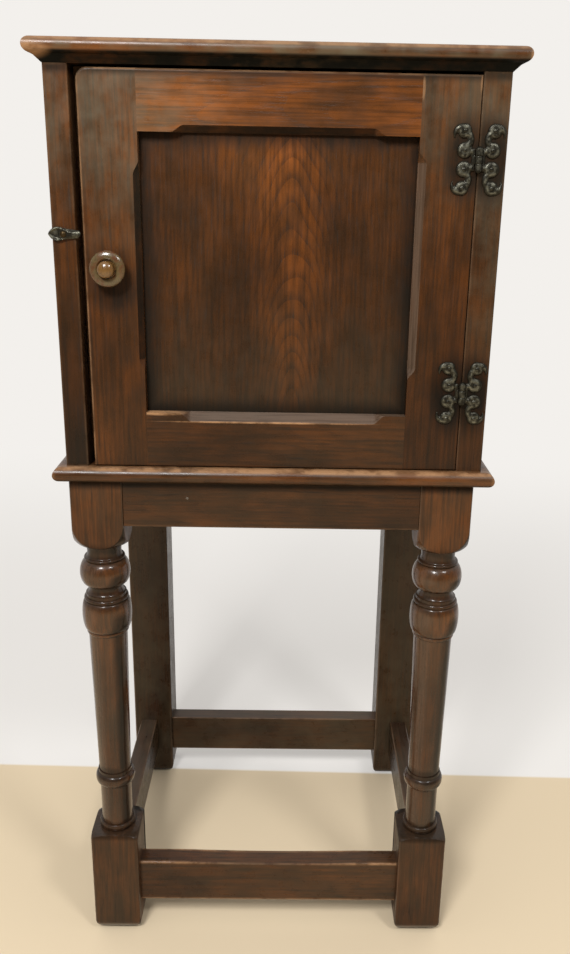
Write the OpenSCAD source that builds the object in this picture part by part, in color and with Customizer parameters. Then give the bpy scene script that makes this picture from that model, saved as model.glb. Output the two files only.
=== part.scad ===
// Bedside pot cupboard: a small oak case with one panelled door, on a stand with turned front legs.
// Millimetres. +Z is up, the door faces -Y, and +X is to the right of someone who faces the door.
// The origin lies on the floor, at the middle of the space that the cupboard takes up.
// Inside the modules y = 0 is the front face of the case, and place() moves that to the origin.

/* [Case] */
// Width of the case over its two sides
case_w = 336; // [300:1:400]
// Depth of the case from its front face to its back
case_d = 284; // [250:1:330]
// Height of the case between the waist board and the top board
case_h = 300; // [260:1:360]
// Thickness of the left side
left_side_t = 18; // [15:0.5:22]
// Thickness of the right side, which carries the hinges
right_side_t = 20.6; // [19:0.2:25]
// Rounding of the two sides' front edges
side_edge_r = 1; // [0.5:0.1:2]
// Thickness of the back board
back_t = 8; // [5:0.5:12]
// How far the back board laps into the rebate of each side
rebate_w = 9; // [5:0.5:12]
// Width of the strip that the door closes against
stop_w = 12; // [8:0.5:20]
// Depth of the strip that the door closes against
stop_d = 14; // [8:0.5:25]
// Room between the closed door's back and that strip
stop_gap = 0.5; // [0.3:0.1:0.8]

/* [Top board] */
// Full thickness of the top board
top_t = 16.5; // [14:0.5:24]
// Thickness of its half-round nose, which the undercut runs in to
top_nose_t = 11; // [8:0.5:13]
// Overhang of the top board at the front and the sides
top_overhang = 11; // [8:0.5:18]

/* [Waist board] */
// Thickness of the waist board, all of it half round at the edge
waist_t = 12.5; // [10:0.5:16]
// Overhang of the waist board past the case at the front
waist_front = 9; // [8:0.5:16]
// Overhang of the waist board past the case at each side
waist_side = 10; // [8:0.5:16]

/* [Stand] */
// Height of the stand up to the waist board
stand_h = 456.5; // [400:0.5:520]
// How much narrower the stand is than the case, half of it at each side
stand_in = 3; // [0:0.5:20]
// How far the stand's legs stand forward of the case
stand_front = 2; // [0:0.5:4]
// How far the stand sits to the left of the case's middle
stand_shift = 2; // [0:0.5:4]
// Side of the square that every leg is cut from
leg = 43.5; // [38:0.5:50]
// Rounding of the legs' long edges
leg_edge_r = 2; // [0.5:0.5:4]
// Rounding worn on the bottom of each foot
foot_r = 12; // [3:0.5:14]
// Height of the rails under the waist board
rail_h = 39.5; // [30:0.5:50]
// Thickness of those rails
rail_t = 19; // [14:0.5:24]
// How far the rails' outer faces lie in from the legs' faces
rail_inset = 1; // [0:0.5:4]
// Height of the floor side of the stretchers above the floor
stretcher_z = 31.5; // [15:0.5:45]
// Height of the stretchers themselves
stretcher_h = 43; // [30:0.5:60]
// Thickness of the stretchers
stretcher_t = 18.5; // [14:0.5:22]
// How far the front and side stretchers lie in from the legs' faces
stretcher_inset = 7.5; // [4:0.5:10]
// How far the rear stretcher lies behind the rear legs' front faces
rear_stretcher_inset = 5.5; // [4:0.5:14]
// Rounding of the rails' and stretchers' long edges
bar_edge_r = 1.2; // [0.4:0.2:3]
// Depth worn into the top of the front stretcher by feet
wear_depth = 2; // [0.5:0.5:5]
// Length of that worn hollow
wear_length = 190; // [80:5:210]
// Length of every tenon of the stand
tenon_l = 20; // [10:1:20]
// Thickness of every tenon of the stand
tenon_t = 8; // [5:0.5:10]
// Shoulder above and below every tenon of the stand
tenon_shoulder = 6; // [3:0.5:9]

/* [Turned front legs] */
// Height of the square foot block
foot_block_h = 109.5; // [90:0.5:130]
// Height over which the foot block's upper corners are rounded by turning
shoulder_h = 7; // [3:0.5:14]
// Radius of that rounding at the top of the block
shoulder_r = 23.5; // [22:0.5:28]
// Height of the ring that sits on the foot block
foot_ring_h = 6; // [4:0.5:14]
// Radius of the ring on the foot block
foot_ring_r = 16.3; // [15.5:0.1:21]
// Length of the plain turning between foot ring and collar
ankle_h = 41.5; // [25:0.5:50]
// Radius of that plain turning
ankle_r = 14; // [12:0.5:15]
// Height of the collar
collar_h = 11.5; // [8:0.5:20]
// Radius of the collar
collar_r = 17.7; // [16:0.1:20]
// Height of the flat ring on the collar
collar_ring_h = 3; // [2:0.5:5]
// Radius of the flat ring on the collar
collar_ring_r = 15.2; // [14.5:0.1:16.5]
// Radius of the long column where it leaves the collar
column_foot_r = 14.3; // [12.5:0.1:15]
// Radius of the long column at its head
column_head_r = 16.7; // [15:0.1:17]
// Height of the bead under the bulb
bead_h = 4; // [3:0.5:6]
// Radius of the bead under the bulb
bead_r = 18.1; // [17.4:0.1:19]
// Height of the bulb
bulb_h = 27.5; // [20:0.5:34]
// Radius of the bulb
bulb_r = 21.3; // [19.6:0.1:21.5]
// Height of the ring on the bulb
ring_h = 3.5; // [2:0.5:5]
// Radius of the ring on the bulb
ring_r = 19; // [18:0.1:20]
// Height of the square-edged fillet above that ring
fillet_h = 3; // [2:0.5:5]
// Radius of that fillet
fillet_r = 17.2; // [16:0.1:17.8]
// Height of the hollow between fillet and ball
cove_h = 8; // [5:0.5:12]
// Smallest radius of that hollow
cove_r = 14.3; // [12:0.1:15]
// Height of the ball
ball_h = 23.5; // [18:0.5:30]
// Radius of the ball
ball_r = 21.4; // [18:0.1:21.6]
// Height of the small ring on the ball
cap_h = 2.5; // [2:0.5:4]
// Radius of the small ring on the ball
cap_r = 17.3; // [16.2:0.1:18.5]
// Height of the neck under the square top block
neck_h = 12; // [6:0.5:14]
// Smallest radius of the neck
neck_r = 14.4; // [12:0.1:15.5]
// Height over which the square top block is rounded to meet the neck
pummel_h = 28; // [14:1:34]
// Radius at which the rounded end of the top block meets the neck
pummel_r = 17.5; // [16:0.1:20]
// How far that rounding starts above the rails' lower edges
pummel_lap = 6.5; // [0:0.5:8]

/* [Door] */
// Thickness of the door frame
door_t = 19; // [17:0.5:24]
// Gap between the left side and the door's free edge
door_gap_left = 5; // [2:0.5:8]
// Gap at the hinges between the door and the right side
door_gap_hinge = 0.4; // [0.3:0.1:1]
// Gap over the door
door_gap_top = 2; // [1:0.5:4]
// Gap under the door
door_gap_bottom = 0.7; // [0.4:0.1:2]
// Rounding of the door's front edge at the left and the top
door_edge_r = 2; // [1:0.5:4]
// Rounding of the door's front edge at the hinges and the bottom
door_tight_edge_r = 0.8; // [0.4:0.2:2]
// Radius of the door's top left corner
door_corner_r = 8.5; // [5:0.5:14]
// Width of both door stiles
stile_w = 43; // [38:0.5:55]
// Width of the door's top rail
top_rail_w = 42.7; // [36:0.1:60]
// Width of the door's bottom rail
bottom_rail_w = 44.3; // [36:0.1:60]
// Depth of the panel's face below the frame's face
panel_recess = 7.6; // [7:0.1:9]
// Thickness of the panel
panel_t = 5; // [4:0.5:6]
// Depth of the groove that holds the panel
groove_d = 6; // [4:0.5:8]
// Room left for the panel at the bottom of the groove
panel_room = 0.6; // [0.2:0.1:0.9]
// Length of the door rails' tenons
door_tenon_l = 28; // [15:1:34]
// Shoulder between a door rail's outer edge and its tenon
door_tenon_shoulder = 8; // [4:0.5:12]

/* [Stopped chamfers] */
// Width of the chamfer on the top rail
top_chamfer = 5; // [3:0.1:7]
// Width of the chamfer on the bottom rail
bottom_chamfer = 6.8; // [3:0.1:7]
// Width of the chamfer on the left stile
left_chamfer = 4; // [3:0.1:7]
// Width of the chamfer on the right stile
right_chamfer = 5.6; // [3:0.1:7]
// Length of the ogee at each end of a chamfer
ogee_l = 10; // [6:0.5:16]
// Plain length left at each end of the top rail's chamfer
top_chamfer_end = 24; // [6:0.5:40]
// Plain length left of the bottom rail's chamfer
bottom_chamfer_left = 26; // [6:0.5:40]
// Plain length right of the bottom rail's chamfer
bottom_chamfer_right = 16; // [6:0.5:40]
// Plain length under the left stile's chamfer
left_chamfer_foot = 33; // [6:0.5:40]
// Plain length over the left stile's chamfer
left_chamfer_head = 20; // [6:0.5:40]
// Plain length under the right stile's chamfer
right_chamfer_foot = 29; // [6:0.5:40]
// Plain length over the right stile's chamfer
right_chamfer_head = 9; // [6:0.5:40]

/* [Knob] */
// Distance of the knob's axis from the door's free edge
knob_in = 19; // [15:0.5:23]
// Height of the knob's axis above the door's bottom edge
knob_up = 157; // [120:1:180]
// Radius of the knob's rim
knob_r = 13.5; // [11:0.5:16]
// Radius of the button in the knob's middle
button_r = 6.7; // [5:0.1:8]
// Distance from the door's face to the knob's front
knob_reach = 20.5; // [19:0.5:26]
// Height of the button above the hollow round it
button_h = 9.5; // [6:0.5:11]
// Straight part of the button's side, below its dome
button_side = 6; // [1:0.5:7]
// Width of the groove round the button's foot
button_groove = 0.8; // [0.4:0.1:1.2]
// Distance from the door's face to the thickest part of the rim
rim_z = 10.25; // [9:0.25:11]
// Radius that the rim is rounded with
rim_r = 3; // [2:0.5:4]
// Radius of the knob's foot on the door
knob_foot_r = 7; // [6:0.5:9]
// Thickness of that foot
knob_foot_t = 1; // [0.5:0.5:2]
// Radius of the knob's neck
knob_neck_r = 5.6; // [4.8:0.1:6]
// Length over which the foot hollows in to the neck
knob_throat = 2; // [1:0.5:4]
// Radius of the spigot that holds the knob in the stile
spigot_r = 4.5; // [3:0.5:6]
// Length of that spigot
spigot_l = 12; // [8:0.5:15]

/* [Hinges] */
// Distance of the upper hinge's middle from the door's top edge
hinge_from_top = 58; // [45:1:90]
// Distance of the lower hinge's middle from the door's bottom edge
hinge_from_bottom = 64; // [45:1:90]
// Thickness of the hinge leaves
leaf_t = 2; // [1.5:0.1:2.4]
// Radius of the knuckles
barrel_r = 2.6; // [2.2:0.1:3]
// Length of the three knuckles together
barrel_h = 16.5; // [12:0.5:20]
// Gap between neighbouring knuckles
knuckle_gap = 0.2; // [0.1:0.05:0.4]
// Radius of the hinge pin
pin_r = 1.1; // [0.8:0.1:1.4]
// Radius of a nail's shank
nail_r = 0.9; // [0.6:0.1:1]
// Radius of a nail's head
nail_head_r = 1.7; // [1.3:0.1:2.2]
// Length of a nail in the wood
nail_l = 9; // [6:0.5:12]

/* [Turn catch] */
// Distance of the catch's pivot from the case's left edge
catch_in = 9; // [8:0.5:10]
// Height of the catch's pivot above the waist board
catch_up = 182; // [150:1:220]
// Length of the catch's tongue from its pivot
tongue_l = 12.7; // [8:0.1:12.8]
// Radius of the tongue's end
tongue_r = 3; // [1.5:0.1:3.4]
// Length of the catch's leaf-shaped thumb piece from its pivot
thumb_l = 11.5; // [8:0.1:12]
// How far the thumb piece reaches past the pivot towards the tongue
thumb_past = 3.5; // [1:0.5:5]
// Width of the thumb piece
thumb_w = 10.5; // [6:0.5:12]
// Thickness of the catch
catch_t = 3; // [2:0.5:4]
// Radius of the catch's hub
hub_r = 4.2; // [3.6:0.1:5]
// Half width of the tongue where it leaves the hub
tongue_root = 3.9; // [2.5:0.1:4.4]
// Radius of the pivot pin
pivot_r = 1.5; // [1.2:0.1:2]
// Radius of the pivot pin's head
pivot_head_r = 2.4; // [2:0.1:3.4]
// Length of the pivot pin in the wood
pivot_l = 14; // [8:1:18]

/* [Fits] */
// Room round every tenon, spigot and nail in its hole
fit_gap = 0.1; // [0.05:0.01:0.15]
// Radial room round a pin that turns or is turned on
running_gap = 0.05; // [0.02:0.01:0.08]
// Gap between ironwork that moves and the face behind it
lift = 0.3; // [0.2:0.05:0.4]

/* [Hidden] */
$fn = 48;
OAK = "#4a2c1a";
DARK_OAK = "#38210f";
PALE_WOOD = "#6a4a32";
IRON = "#38352e";
// Overshoot of a cutting solid past the face that it cuts
past = 1;

// Heights
case_z = stand_h + waist_t;
top_z = case_z + case_h;
// Half widths and the stand's front
case_x = case_w / 2;
stand_x = case_x - stand_in;
stand_y = -stand_front;
// Distance of a leg's corners from its axis
corner = leg * sqrt(2) / 2;
// Half of the room that the cupboard takes up in front of and behind its middle
centre_y = (case_d - knob_reach) / 2;

// The door's four edges and the panel's opening
door_x0 = -case_x + left_side_t + door_gap_left;
door_x1 = case_x - right_side_t - door_gap_hinge;
door_z0 = case_z + door_gap_bottom;
door_z1 = top_z - door_gap_top;
door_w = door_x1 - door_x0;
door_h = door_z1 - door_z0;
open_x0 = door_x0 + stile_w;
open_x1 = door_x1 - stile_w;
open_z0 = door_z0 + bottom_rail_w;
open_z1 = door_z1 - top_rail_w;
knob_x = door_x0 + knob_in;
knob_z = door_z0 + knob_up;

// The hinges' axis and the middle of each hinge
axis_x = door_x1 + door_gap_hinge / 2;
axis_y = -(barrel_r + lift);
hinge_zs = [door_z1 - hinge_from_top, door_z0 + hinge_from_bottom];
knuckle_h = (barrel_h - 2 * knuckle_gap) / 3;

// The catch's pivot
catch_x = -case_x + catch_in;
catch_z = case_z + catch_up;

// Bars of the stand: [start, turn about Z, length, thickness, height]
between_x = 2 * stand_x - 2 * leg;
rear_leg_y = case_d - leg;
between_y = rear_leg_y - stand_y - leg;
rail_z = stand_h - rail_h;
front_rail_bar = [[-between_x / 2, stand_y + rail_inset, rail_z], 0, between_x, rail_t, rail_h];
rear_rail_bar = [[-between_x / 2, case_d - rail_inset - rail_t, rail_z], 0, between_x, rail_t, rail_h];
left_rail_bar = [[-stand_x + rail_inset + rail_t, stand_y + leg, rail_z], 90, between_y, rail_t, rail_h];
right_rail_bar = [[stand_x - rail_inset, stand_y + leg, rail_z], 90, between_y, rail_t, rail_h];
front_stretcher_bar = [[-between_x / 2, stand_y + stretcher_inset, stretcher_z], 0,
    between_x, stretcher_t, stretcher_h];
rear_stretcher_bar = [[-between_x / 2, rear_leg_y + rear_stretcher_inset, stretcher_z], 0,
    between_x, stretcher_t, stretcher_h];
left_stretcher_bar = [[-stand_x + stretcher_inset + stretcher_t, stand_y + leg, stretcher_z], 90,
    between_y, stretcher_t, stretcher_h];
right_stretcher_bar = [[stand_x - stretcher_inset, stand_y + leg, stretcher_z], 90,
    between_y, stretcher_t, stretcher_h];
bars = [front_rail_bar, rear_rail_bar, left_rail_bar, right_rail_bar,
    front_stretcher_bar, rear_stretcher_bar, left_stretcher_bar, right_stretcher_bar];

// The front leg's turning, from the foot block up, as outlines of [radius, height].
// The column takes up whatever length the other turnings leave.
step = 1.2;
turnings_h = foot_ring_h + ankle_h + collar_h + collar_ring_h + bead_h + bulb_h + ring_h + fillet_h
    + cove_h + ball_h + cap_h + neck_h + pummel_h;
pummel_z = rail_z + pummel_lap - pummel_h;
column_h = pummel_z + pummel_h - foot_block_h - turnings_h;
turning = stack([
    swell(foot_ring_h, ankle_r + step, foot_ring_r, ankle_r + step),
    taper(ankle_h, ankle_r, ankle_r),
    swell(collar_h, ankle_r + step / 2, collar_r, ankle_r + step / 2),
    taper(collar_ring_h, collar_ring_r, collar_ring_r),
    taper(column_h, column_foot_r, column_head_r),
    swell(bead_h, bead_r - step, bead_r, bead_r - step),
    swell(bulb_h, bead_r, bulb_r, ring_r - step / 2),
    swell(ring_h, ring_r - step, ring_r, ring_r - step),
    taper(fillet_h, fillet_r, fillet_r),
    swell(cove_h, fillet_r - step / 2, cove_r, cove_r + step),
    swell(ball_h, cove_r + step, ball_r, cap_r - 2 * step),
    swell(cap_h, cap_r - step, cap_r, cap_r - step),
    swell(neck_h, neck_r + step, neck_r, pummel_r - step),
]);

// Outline of a cockshead leaf above its middle: circles as [out from the pin, up, radius]
body_lobe = [10.2, 6.6, 5.8];
neck_ring = [12.4, 14, 8.6];
neck_hole = [13.2, 14.3, 4.4];
head_disc = [11, 20, 5.2];
beak_disc = [13.2, 18.7, 6.2];
beak_cut = [12.9, 15.2, 4.9];
comb_disc = [13.4, 21.8, 3.3];
comb_cut = [15.4, 23.6, 2.4];
// Half height of the flat that joins the leaf to its knuckles
root_h = 8;
// Length and height of a box that holds any leaf
leaf_room = 30;
// Height of the domed ends of a hinge pin
pin_dome_h = 1.2;

// ---- Outlines of turned work ----

// A turning that bulges, or hollows where the middle radius is the smallest: half an ellipse
function swell(h, foot_r, middle_r, head_r, steps = 10) = [for (i = [0:steps])
    let (a = 180 * i / steps, z = h * (1 - cos(a)) / 2)
        [foot_r + (head_r - foot_r) * z / h + (middle_r - (foot_r + head_r) / 2) * sin(a), z]];

// A straight or tapered turning
function taper(h, foot_r, head_r) = [[foot_r, 0], [head_r, h]];

// Puts turnings on top of each other and leaves out a point that repeats the one below it
function stack(parts, i = 0, z = 0) = i == len(parts) ? [] :
    concat([for (p = parts[i]) if (i == 0 || p[1] > 0 || p[0] != last_r(parts[i - 1])) [p[0], p[1] + z]],
        stack(parts, i + 1, z + parts[i][len(parts[i]) - 1][1]));

function last_r(part) = part[len(part) - 1][0];

// ---- Helper shapes ----

// Moves what is drawn from the case's front face to the origin
module place() translate([0, -centre_y, 0]) children();

// The same for the stand, which sits a little to the left
module place_stand() place() translate([-stand_shift, 0, 0]) children();

// A rectangle with round corners, centred
module round_rect(w, h, r) {
    square([w - 2 * r, h], center = true);
    square([w, h - 2 * r], center = true);
    for (x = [-1, 1], y = [-1, 1]) translate([x * (w / 2 - r), y * (h / 2 - r)]) circle(r);
}

// The piece that rounding a corner at the origin takes away, for material that lies at +x, +y
module corner_waste(r) difference() {
    translate([-past, -past]) square(r + past);
    translate([r, r]) circle(r);
}

// A rectangle from the origin, with its two corners at y = 0 rounded
module front_rounded(w, t, r_left, r_right) difference() {
    square([w, t]);
    corner_waste(r_left);
    translate([w, 0]) mirror([1, 0]) corner_waste(r_right);
}

// A disc given as [x, y, radius]
module disc(d) translate([d[0], d[1]]) circle(d[2]);

// A dome that stands on z = 0
module dome(r, h) {
    ball = (r * r + h * h) / (2 * h);
    intersection() {
        translate([0, 0, h - ball]) sphere(ball);
        cylinder(r = r, h = h);
    }
}

// Turns a solid that stands on z = 0 so that it points out of a front face
module facing() rotate([90, 0, 0]) children();

// ---- Boards with a moulded edge ----

// Section from the tip of the nose inwards, with the undercut below the nose
module nose_section(length, t, nose_t, overhang) {
    r = nose_t / 2;
    translate([r, t - r]) circle(r);
    translate([r, t - nose_t]) square([length - r, nose_t]);
    if (t > nose_t) polygon([[r, t - nose_t], [overhang, 0], [length, 0], [length, t - nose_t]]);
}

// A board moulded at its front and both sides, and square at its back
module moulded_board(w, front, side, t, nose_t) intersection() {
    translate([-w / 2 - side, -front, 0]) rotate([90, 0, 90])
        linear_extrude(w + 2 * side) nose_section(case_d + front, t, nose_t, front);
    translate([0, case_d, 0]) facing() linear_extrude(case_d + front)
        for (m = [0, 1]) mirror([m, 0]) translate([-w / 2 - side, 0])
            nose_section(w / 2 + side, t, nose_t, side);
}

// ---- Stand ----

// Side outline of a leg: rounded at the bottom where it meets the floor
module worn_outline(h) {
    translate([-leg / 2, foot_r]) square([leg, h - foot_r]);
    translate([-leg / 2 + foot_r, 0]) square([leg - 2 * foot_r, h]);
    for (x = [-1, 1]) translate([x * (leg / 2 - foot_r), foot_r]) circle(foot_r);
}

// A square leg or foot block on its own axis, from the floor up
module square_leg(h) intersection() {
    linear_extrude(h) round_rect(leg, leg, leg_edge_r);
    translate([0, leg / 2, 0]) facing() linear_extrude(leg) worn_outline(h);
    translate([-leg / 2, 0, 0]) rotate([90, 0, 90]) linear_extrude(leg) worn_outline(h);
}

// The square foot block, its upper corners rounded by turning
module foot_block() intersection() {
    square_leg(foot_block_h);
    rotate_extrude() polygon(concat([[0, -past], [corner, -past]],
        [for (a = [0:15:90]) [shoulder_r + (corner - shoulder_r) * cos(a),
            foot_block_h - shoulder_h * (1 - sin(a))]],
        [[0, foot_block_h]]));
}

// The square top block, its lower end rounded by turning
module top_block() intersection() {
    translate([0, 0, pummel_z]) linear_extrude(stand_h - pummel_z) round_rect(leg, leg, leg_edge_r);
    rotate_extrude() polygon(concat([[0, pummel_z]],
        [for (a = [0:9:90]) [pummel_r + (corner - pummel_r) * sin(a), pummel_z + pummel_h * (1 - cos(a))]],
        [[corner, stand_h], [0, stand_h]]));
}

module turned_leg() {
    foot_block();
    rotate_extrude() polygon(concat(
        [[0, foot_block_h - past], [turning[0][0], foot_block_h - past]],
        [for (p = turning) [p[0], p[1] + foot_block_h]],
        [[last_r(turning), pummel_z + past], [0, pummel_z + past]]));
    top_block();
}

// Both tenons of a bar, grown by a gap where they cut a mortise
module tenons(bar, gap = 0) translate(bar[0]) rotate([0, 0, bar[1]])
    for (x = [-tenon_l, bar[2]])
        translate([x - gap, (bar[3] - tenon_t) / 2 - gap, tenon_shoulder - gap])
            cube([tenon_l + 2 * gap, tenon_t + 2 * gap, bar[4] - 2 * tenon_shoulder + 2 * gap]);

// A rail or stretcher without its tenons, with rounded long edges
module bar_body(bar) translate(bar[0]) rotate([0, 0, bar[1]])
    translate([0, bar[3] / 2, bar[4] / 2]) rotate([90, 0, 90])
        linear_extrude(bar[2]) round_rect(bar[3], bar[4], bar_edge_r);

module stand_bar(bar) place_stand() {
    bar_body(bar);
    tenons(bar);
}

// A leg at one corner of the stand, with its mortises
module stand_leg(side, y) place_stand() difference() {
    translate([side * (stand_x - leg / 2), y, 0]) children();
    for (bar = bars) tenons(bar, fit_gap);
}

module front_leg_left() color(OAK) stand_leg(-1, stand_y + leg / 2) turned_leg();
module front_leg_right() color(OAK) stand_leg(1, stand_y + leg / 2) turned_leg();
module rear_leg_left() color(DARK_OAK) stand_leg(-1, rear_leg_y + leg / 2) square_leg(stand_h);
module rear_leg_right() color(DARK_OAK) stand_leg(1, rear_leg_y + leg / 2) square_leg(stand_h);

module front_rail() color(OAK) stand_bar(front_rail_bar);
module rear_rail() color(DARK_OAK) stand_bar(rear_rail_bar);
module left_rail() color(DARK_OAK) stand_bar(left_rail_bar);
module right_rail() color(DARK_OAK) stand_bar(right_rail_bar);

// The front stretcher's top is worn hollow along its middle
module front_stretcher() color(OAK) {
    wear_r = (wear_length * wear_length / 4 + wear_depth * wear_depth) / (2 * wear_depth);
    difference() {
        stand_bar(front_stretcher_bar);
        place_stand() translate([0, stand_y + leg, stretcher_z + stretcher_h - wear_depth + wear_r])
            facing() cylinder(r = wear_r, h = leg, $fn = 360);
    }
}

module rear_stretcher() color(DARK_OAK) stand_bar(rear_stretcher_bar);
module left_stretcher() color(DARK_OAK) stand_bar(left_stretcher_bar);
module right_stretcher() color(DARK_OAK) stand_bar(right_stretcher_bar);

// ---- Case ----

module waist_board() color(OAK) place() translate([0, 0, stand_h])
    moulded_board(case_w, waist_front, waist_side, waist_t, waist_t);

module top_board() color(OAK) place() translate([0, 0, top_z])
    moulded_board(case_w, top_overhang, top_overhang, top_t, top_nose_t);

// A side of the case as it stands on the left, with the rebate for the back board
module side_board(t) difference() {
    linear_extrude(case_h) front_rounded(t, case_d, side_edge_r, side_edge_r);
    translate([t - rebate_w, case_d - back_t, -past]) cube([rebate_w + past, back_t + past, case_h + 2 * past]);
}

module left_side() color(OAK) place() difference() {
    translate([-case_x, 0, case_z]) side_board(left_side_t);
    translate([catch_x, 0, catch_z]) facing() translate([0, 0, -pivot_l - fit_gap])
        cylinder(r = pivot_r + fit_gap, h = pivot_l + past);
}

module right_side() color(OAK) place() difference() {
    translate([case_x, 0, case_z]) mirror([1, 0, 0]) side_board(right_side_t);
    for (z = hinge_zs) at_hinge(z) nail_places() nail_hole();
}

module back_board() color(DARK_OAK) place()
    translate([-case_x + left_side_t - rebate_w, case_d - back_t, case_z])
        cube([case_w - left_side_t - right_side_t + 2 * rebate_w, back_t, case_h]);

// The strip behind the gap at the door's free edge
module door_stop() color(DARK_OAK) place()
    translate([-case_x + left_side_t, door_t + stop_gap, case_z]) cube([stop_w, stop_d, case_h]);

// ---- Door ----

// The whole door as one slab with its front edges rounded and its top left corner cut round
module door_blank() {
    corner_x = door_x0 + door_corner_r;
    corner_z = door_z1 - door_corner_r;
    difference() {
        intersection() {
            translate([door_x0, 0, door_z0])
                linear_extrude(door_h) front_rounded(door_w, door_t, door_edge_r, door_tight_edge_r);
            translate([door_x0, 0, door_z0]) rotate([90, 0, 90])
                linear_extrude(door_w) rotate(90) mirror([0, 1])
                    front_rounded(door_h, door_t, door_tight_edge_r, door_edge_r);
        }
        translate([door_x0 - past, -past, corner_z])
            cube([door_corner_r + past, door_t + 2 * past, door_corner_r + past]);
    }
    translate([corner_x, 0, corner_z]) rotate([-90, 0, 0]) rotate([0, 0, 180])
        rotate_extrude(angle = 90) difference() {
            square([door_corner_r, door_t]);
            translate([door_corner_r, 0]) mirror([1, 0]) corner_waste(door_edge_r);
        }
}

// One member of the door frame: the part of the slab inside a box
module member(x0, x1, z0, z1) intersection() {
    door_blank();
    translate([x0, -past, z0]) cube([x1 - x0, door_t + 2 * past, z1 - z0]);
}

// The groove for the panel, all round the opening
module panel_groove() translate([open_x0 - groove_d, panel_recess - fit_gap, open_z0 - groove_d])
    cube([open_x1 - open_x0 + 2 * groove_d, panel_t + 2 * fit_gap, open_z1 - open_z0 + 2 * groove_d]);

// The tenons at both ends of a door rail, as thick as the panel. Their mortises open into the groove.
module rail_tenons(z0, z1, gap = 0) translate([open_x0 - door_tenon_l - gap, panel_recess - gap, z0 - gap])
    cube([open_x1 - open_x0 + 2 * door_tenon_l + 2 * gap, panel_t + 2 * gap, z1 - z0 + 2 * gap]);

module top_tenons(gap = 0) rail_tenons(open_z1 + groove_d, door_z1 - door_tenon_shoulder, gap);
module bottom_tenons(gap = 0) rail_tenons(door_z0 + door_tenon_shoulder, open_z0 - groove_d, gap);

// Takes a stopped chamfer off an edge that runs along X at y = 0, z = 0, under the material.
// Its face leans at 45 degrees all along, so that the ogees at its ends narrow and shallow together.
module stopped_chamfer(from, to, w) {
    slant = w / sqrt(2);
    ogee = [for (a = [0:18:180]) [ogee_l * a / 180, slant * (1 - cos(a)) / 2]];
    rotate([45, 0, 0]) linear_extrude(4 * w, center = true) polygon(concat([[from, -past]],
        [for (p = ogee) [from + p[0], p[1]]],
        [for (i = [len(ogee) - 1:-1:0]) [to - ogee[i][0], ogee[i][1]]], [[to, -past]]));
}

module top_edge_chamfer() translate([0, 0, open_z1])
    stopped_chamfer(open_x0 + top_chamfer_end, open_x1 - top_chamfer_end, top_chamfer);

module bottom_edge_chamfer() translate([0, 0, open_z0]) rotate([0, 180, 0])
    stopped_chamfer(-open_x1 + bottom_chamfer_right, -open_x0 - bottom_chamfer_left, bottom_chamfer);

module left_edge_chamfer() translate([open_x0, 0, 0]) rotate([0, -90, 0])
    stopped_chamfer(open_z0 + left_chamfer_foot, open_z1 - left_chamfer_head, left_chamfer);

module right_edge_chamfer() translate([open_x1, 0, 0]) rotate([0, 90, 0])
    stopped_chamfer(-open_z1 + right_chamfer_head, -open_z0 - right_chamfer_foot, right_chamfer);

module door_stile_left() color(OAK) place() difference() {
    member(door_x0, open_x0, door_z0, door_z1);
    panel_groove();
    top_tenons(fit_gap);
    bottom_tenons(fit_gap);
    left_edge_chamfer();
    translate([knob_x, 0, knob_z]) facing() translate([0, 0, -spigot_l - fit_gap])
        cylinder(r = spigot_r + fit_gap, h = spigot_l + past);
}

module door_stile_right() color(OAK) place() difference() {
    member(open_x1, door_x1, door_z0, door_z1);
    panel_groove();
    top_tenons(fit_gap);
    bottom_tenons(fit_gap);
    right_edge_chamfer();
    for (z = hinge_zs) at_hinge(z, true) nail_places() nail_hole();
}

module door_rail_top() color(OAK) place() {
    difference() {
        member(open_x0, open_x1, open_z1, door_z1);
        panel_groove();
        top_edge_chamfer();
    }
    difference() {
        top_tenons();
        translate([open_x0 + past, 0, 0]) cube([open_x1 - open_x0 - 2 * past, door_t, door_z1]);
    }
}

module door_rail_bottom() color(OAK) place() {
    difference() {
        member(open_x0, open_x1, door_z0, open_z0);
        panel_groove();
        bottom_edge_chamfer();
    }
    difference() {
        bottom_tenons();
        translate([open_x0 + past, 0, 0]) cube([open_x1 - open_x0 - 2 * past, door_t, door_z1]);
    }
}

module door_panel() color(OAK) place() {
    tongue = groove_d - panel_room;
    translate([open_x0 - tongue, panel_recess, open_z0 - tongue])
        cube([open_x1 - open_x0 + 2 * tongue, panel_t, open_z1 - open_z0 + 2 * tongue]);
}

// The knob: foot, hollow neck, rounded rim, hollow face and domed button, turned in one piece
module knob() color(PALE_WOOD) place() translate([knob_x, 0, knob_z]) facing() {
    hollow_z = knob_reach - button_h;
    rim_top_z = rim_z + rim_r;
    rim_mid_r = knob_r - rim_r;
    hollow_r = button_r + button_groove;
    translate([0, 0, -spigot_l]) cylinder(r = spigot_r, h = spigot_l + past);
    rotate_extrude() polygon(concat(
        [[0, 0], [knob_foot_r, 0], [knob_foot_r, knob_foot_t]],
        [for (a = [0:15:90]) [knob_neck_r + (knob_foot_r - knob_neck_r) * (1 - sin(a)),
            knob_foot_t + knob_throat * (1 - cos(a))]],
        [for (a = [-75:15:90]) [rim_mid_r + rim_r * cos(a), rim_z + rim_r * sin(a)]],
        [for (a = [0:15:90]) [hollow_r + (rim_mid_r - hollow_r) * cos(a),
            hollow_z + (rim_top_z - hollow_z) * (1 - sin(a))]],
        [[button_r, hollow_z]],
        [for (a = [0:10:90]) [button_r * cos(a),
            hollow_z + button_side + (button_h - button_side) * sin(a)]]));
}

// ---- Cockshead hinges ----

// Puts a leaf at a hinge. Drawn: +X away from the pin, +Y out of the face, +Z up.
module at_hinge(z, on_door = false) translate([axis_x, 0, z])
    mirror([on_door ? 1 : 0, 0, 0]) children();

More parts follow.
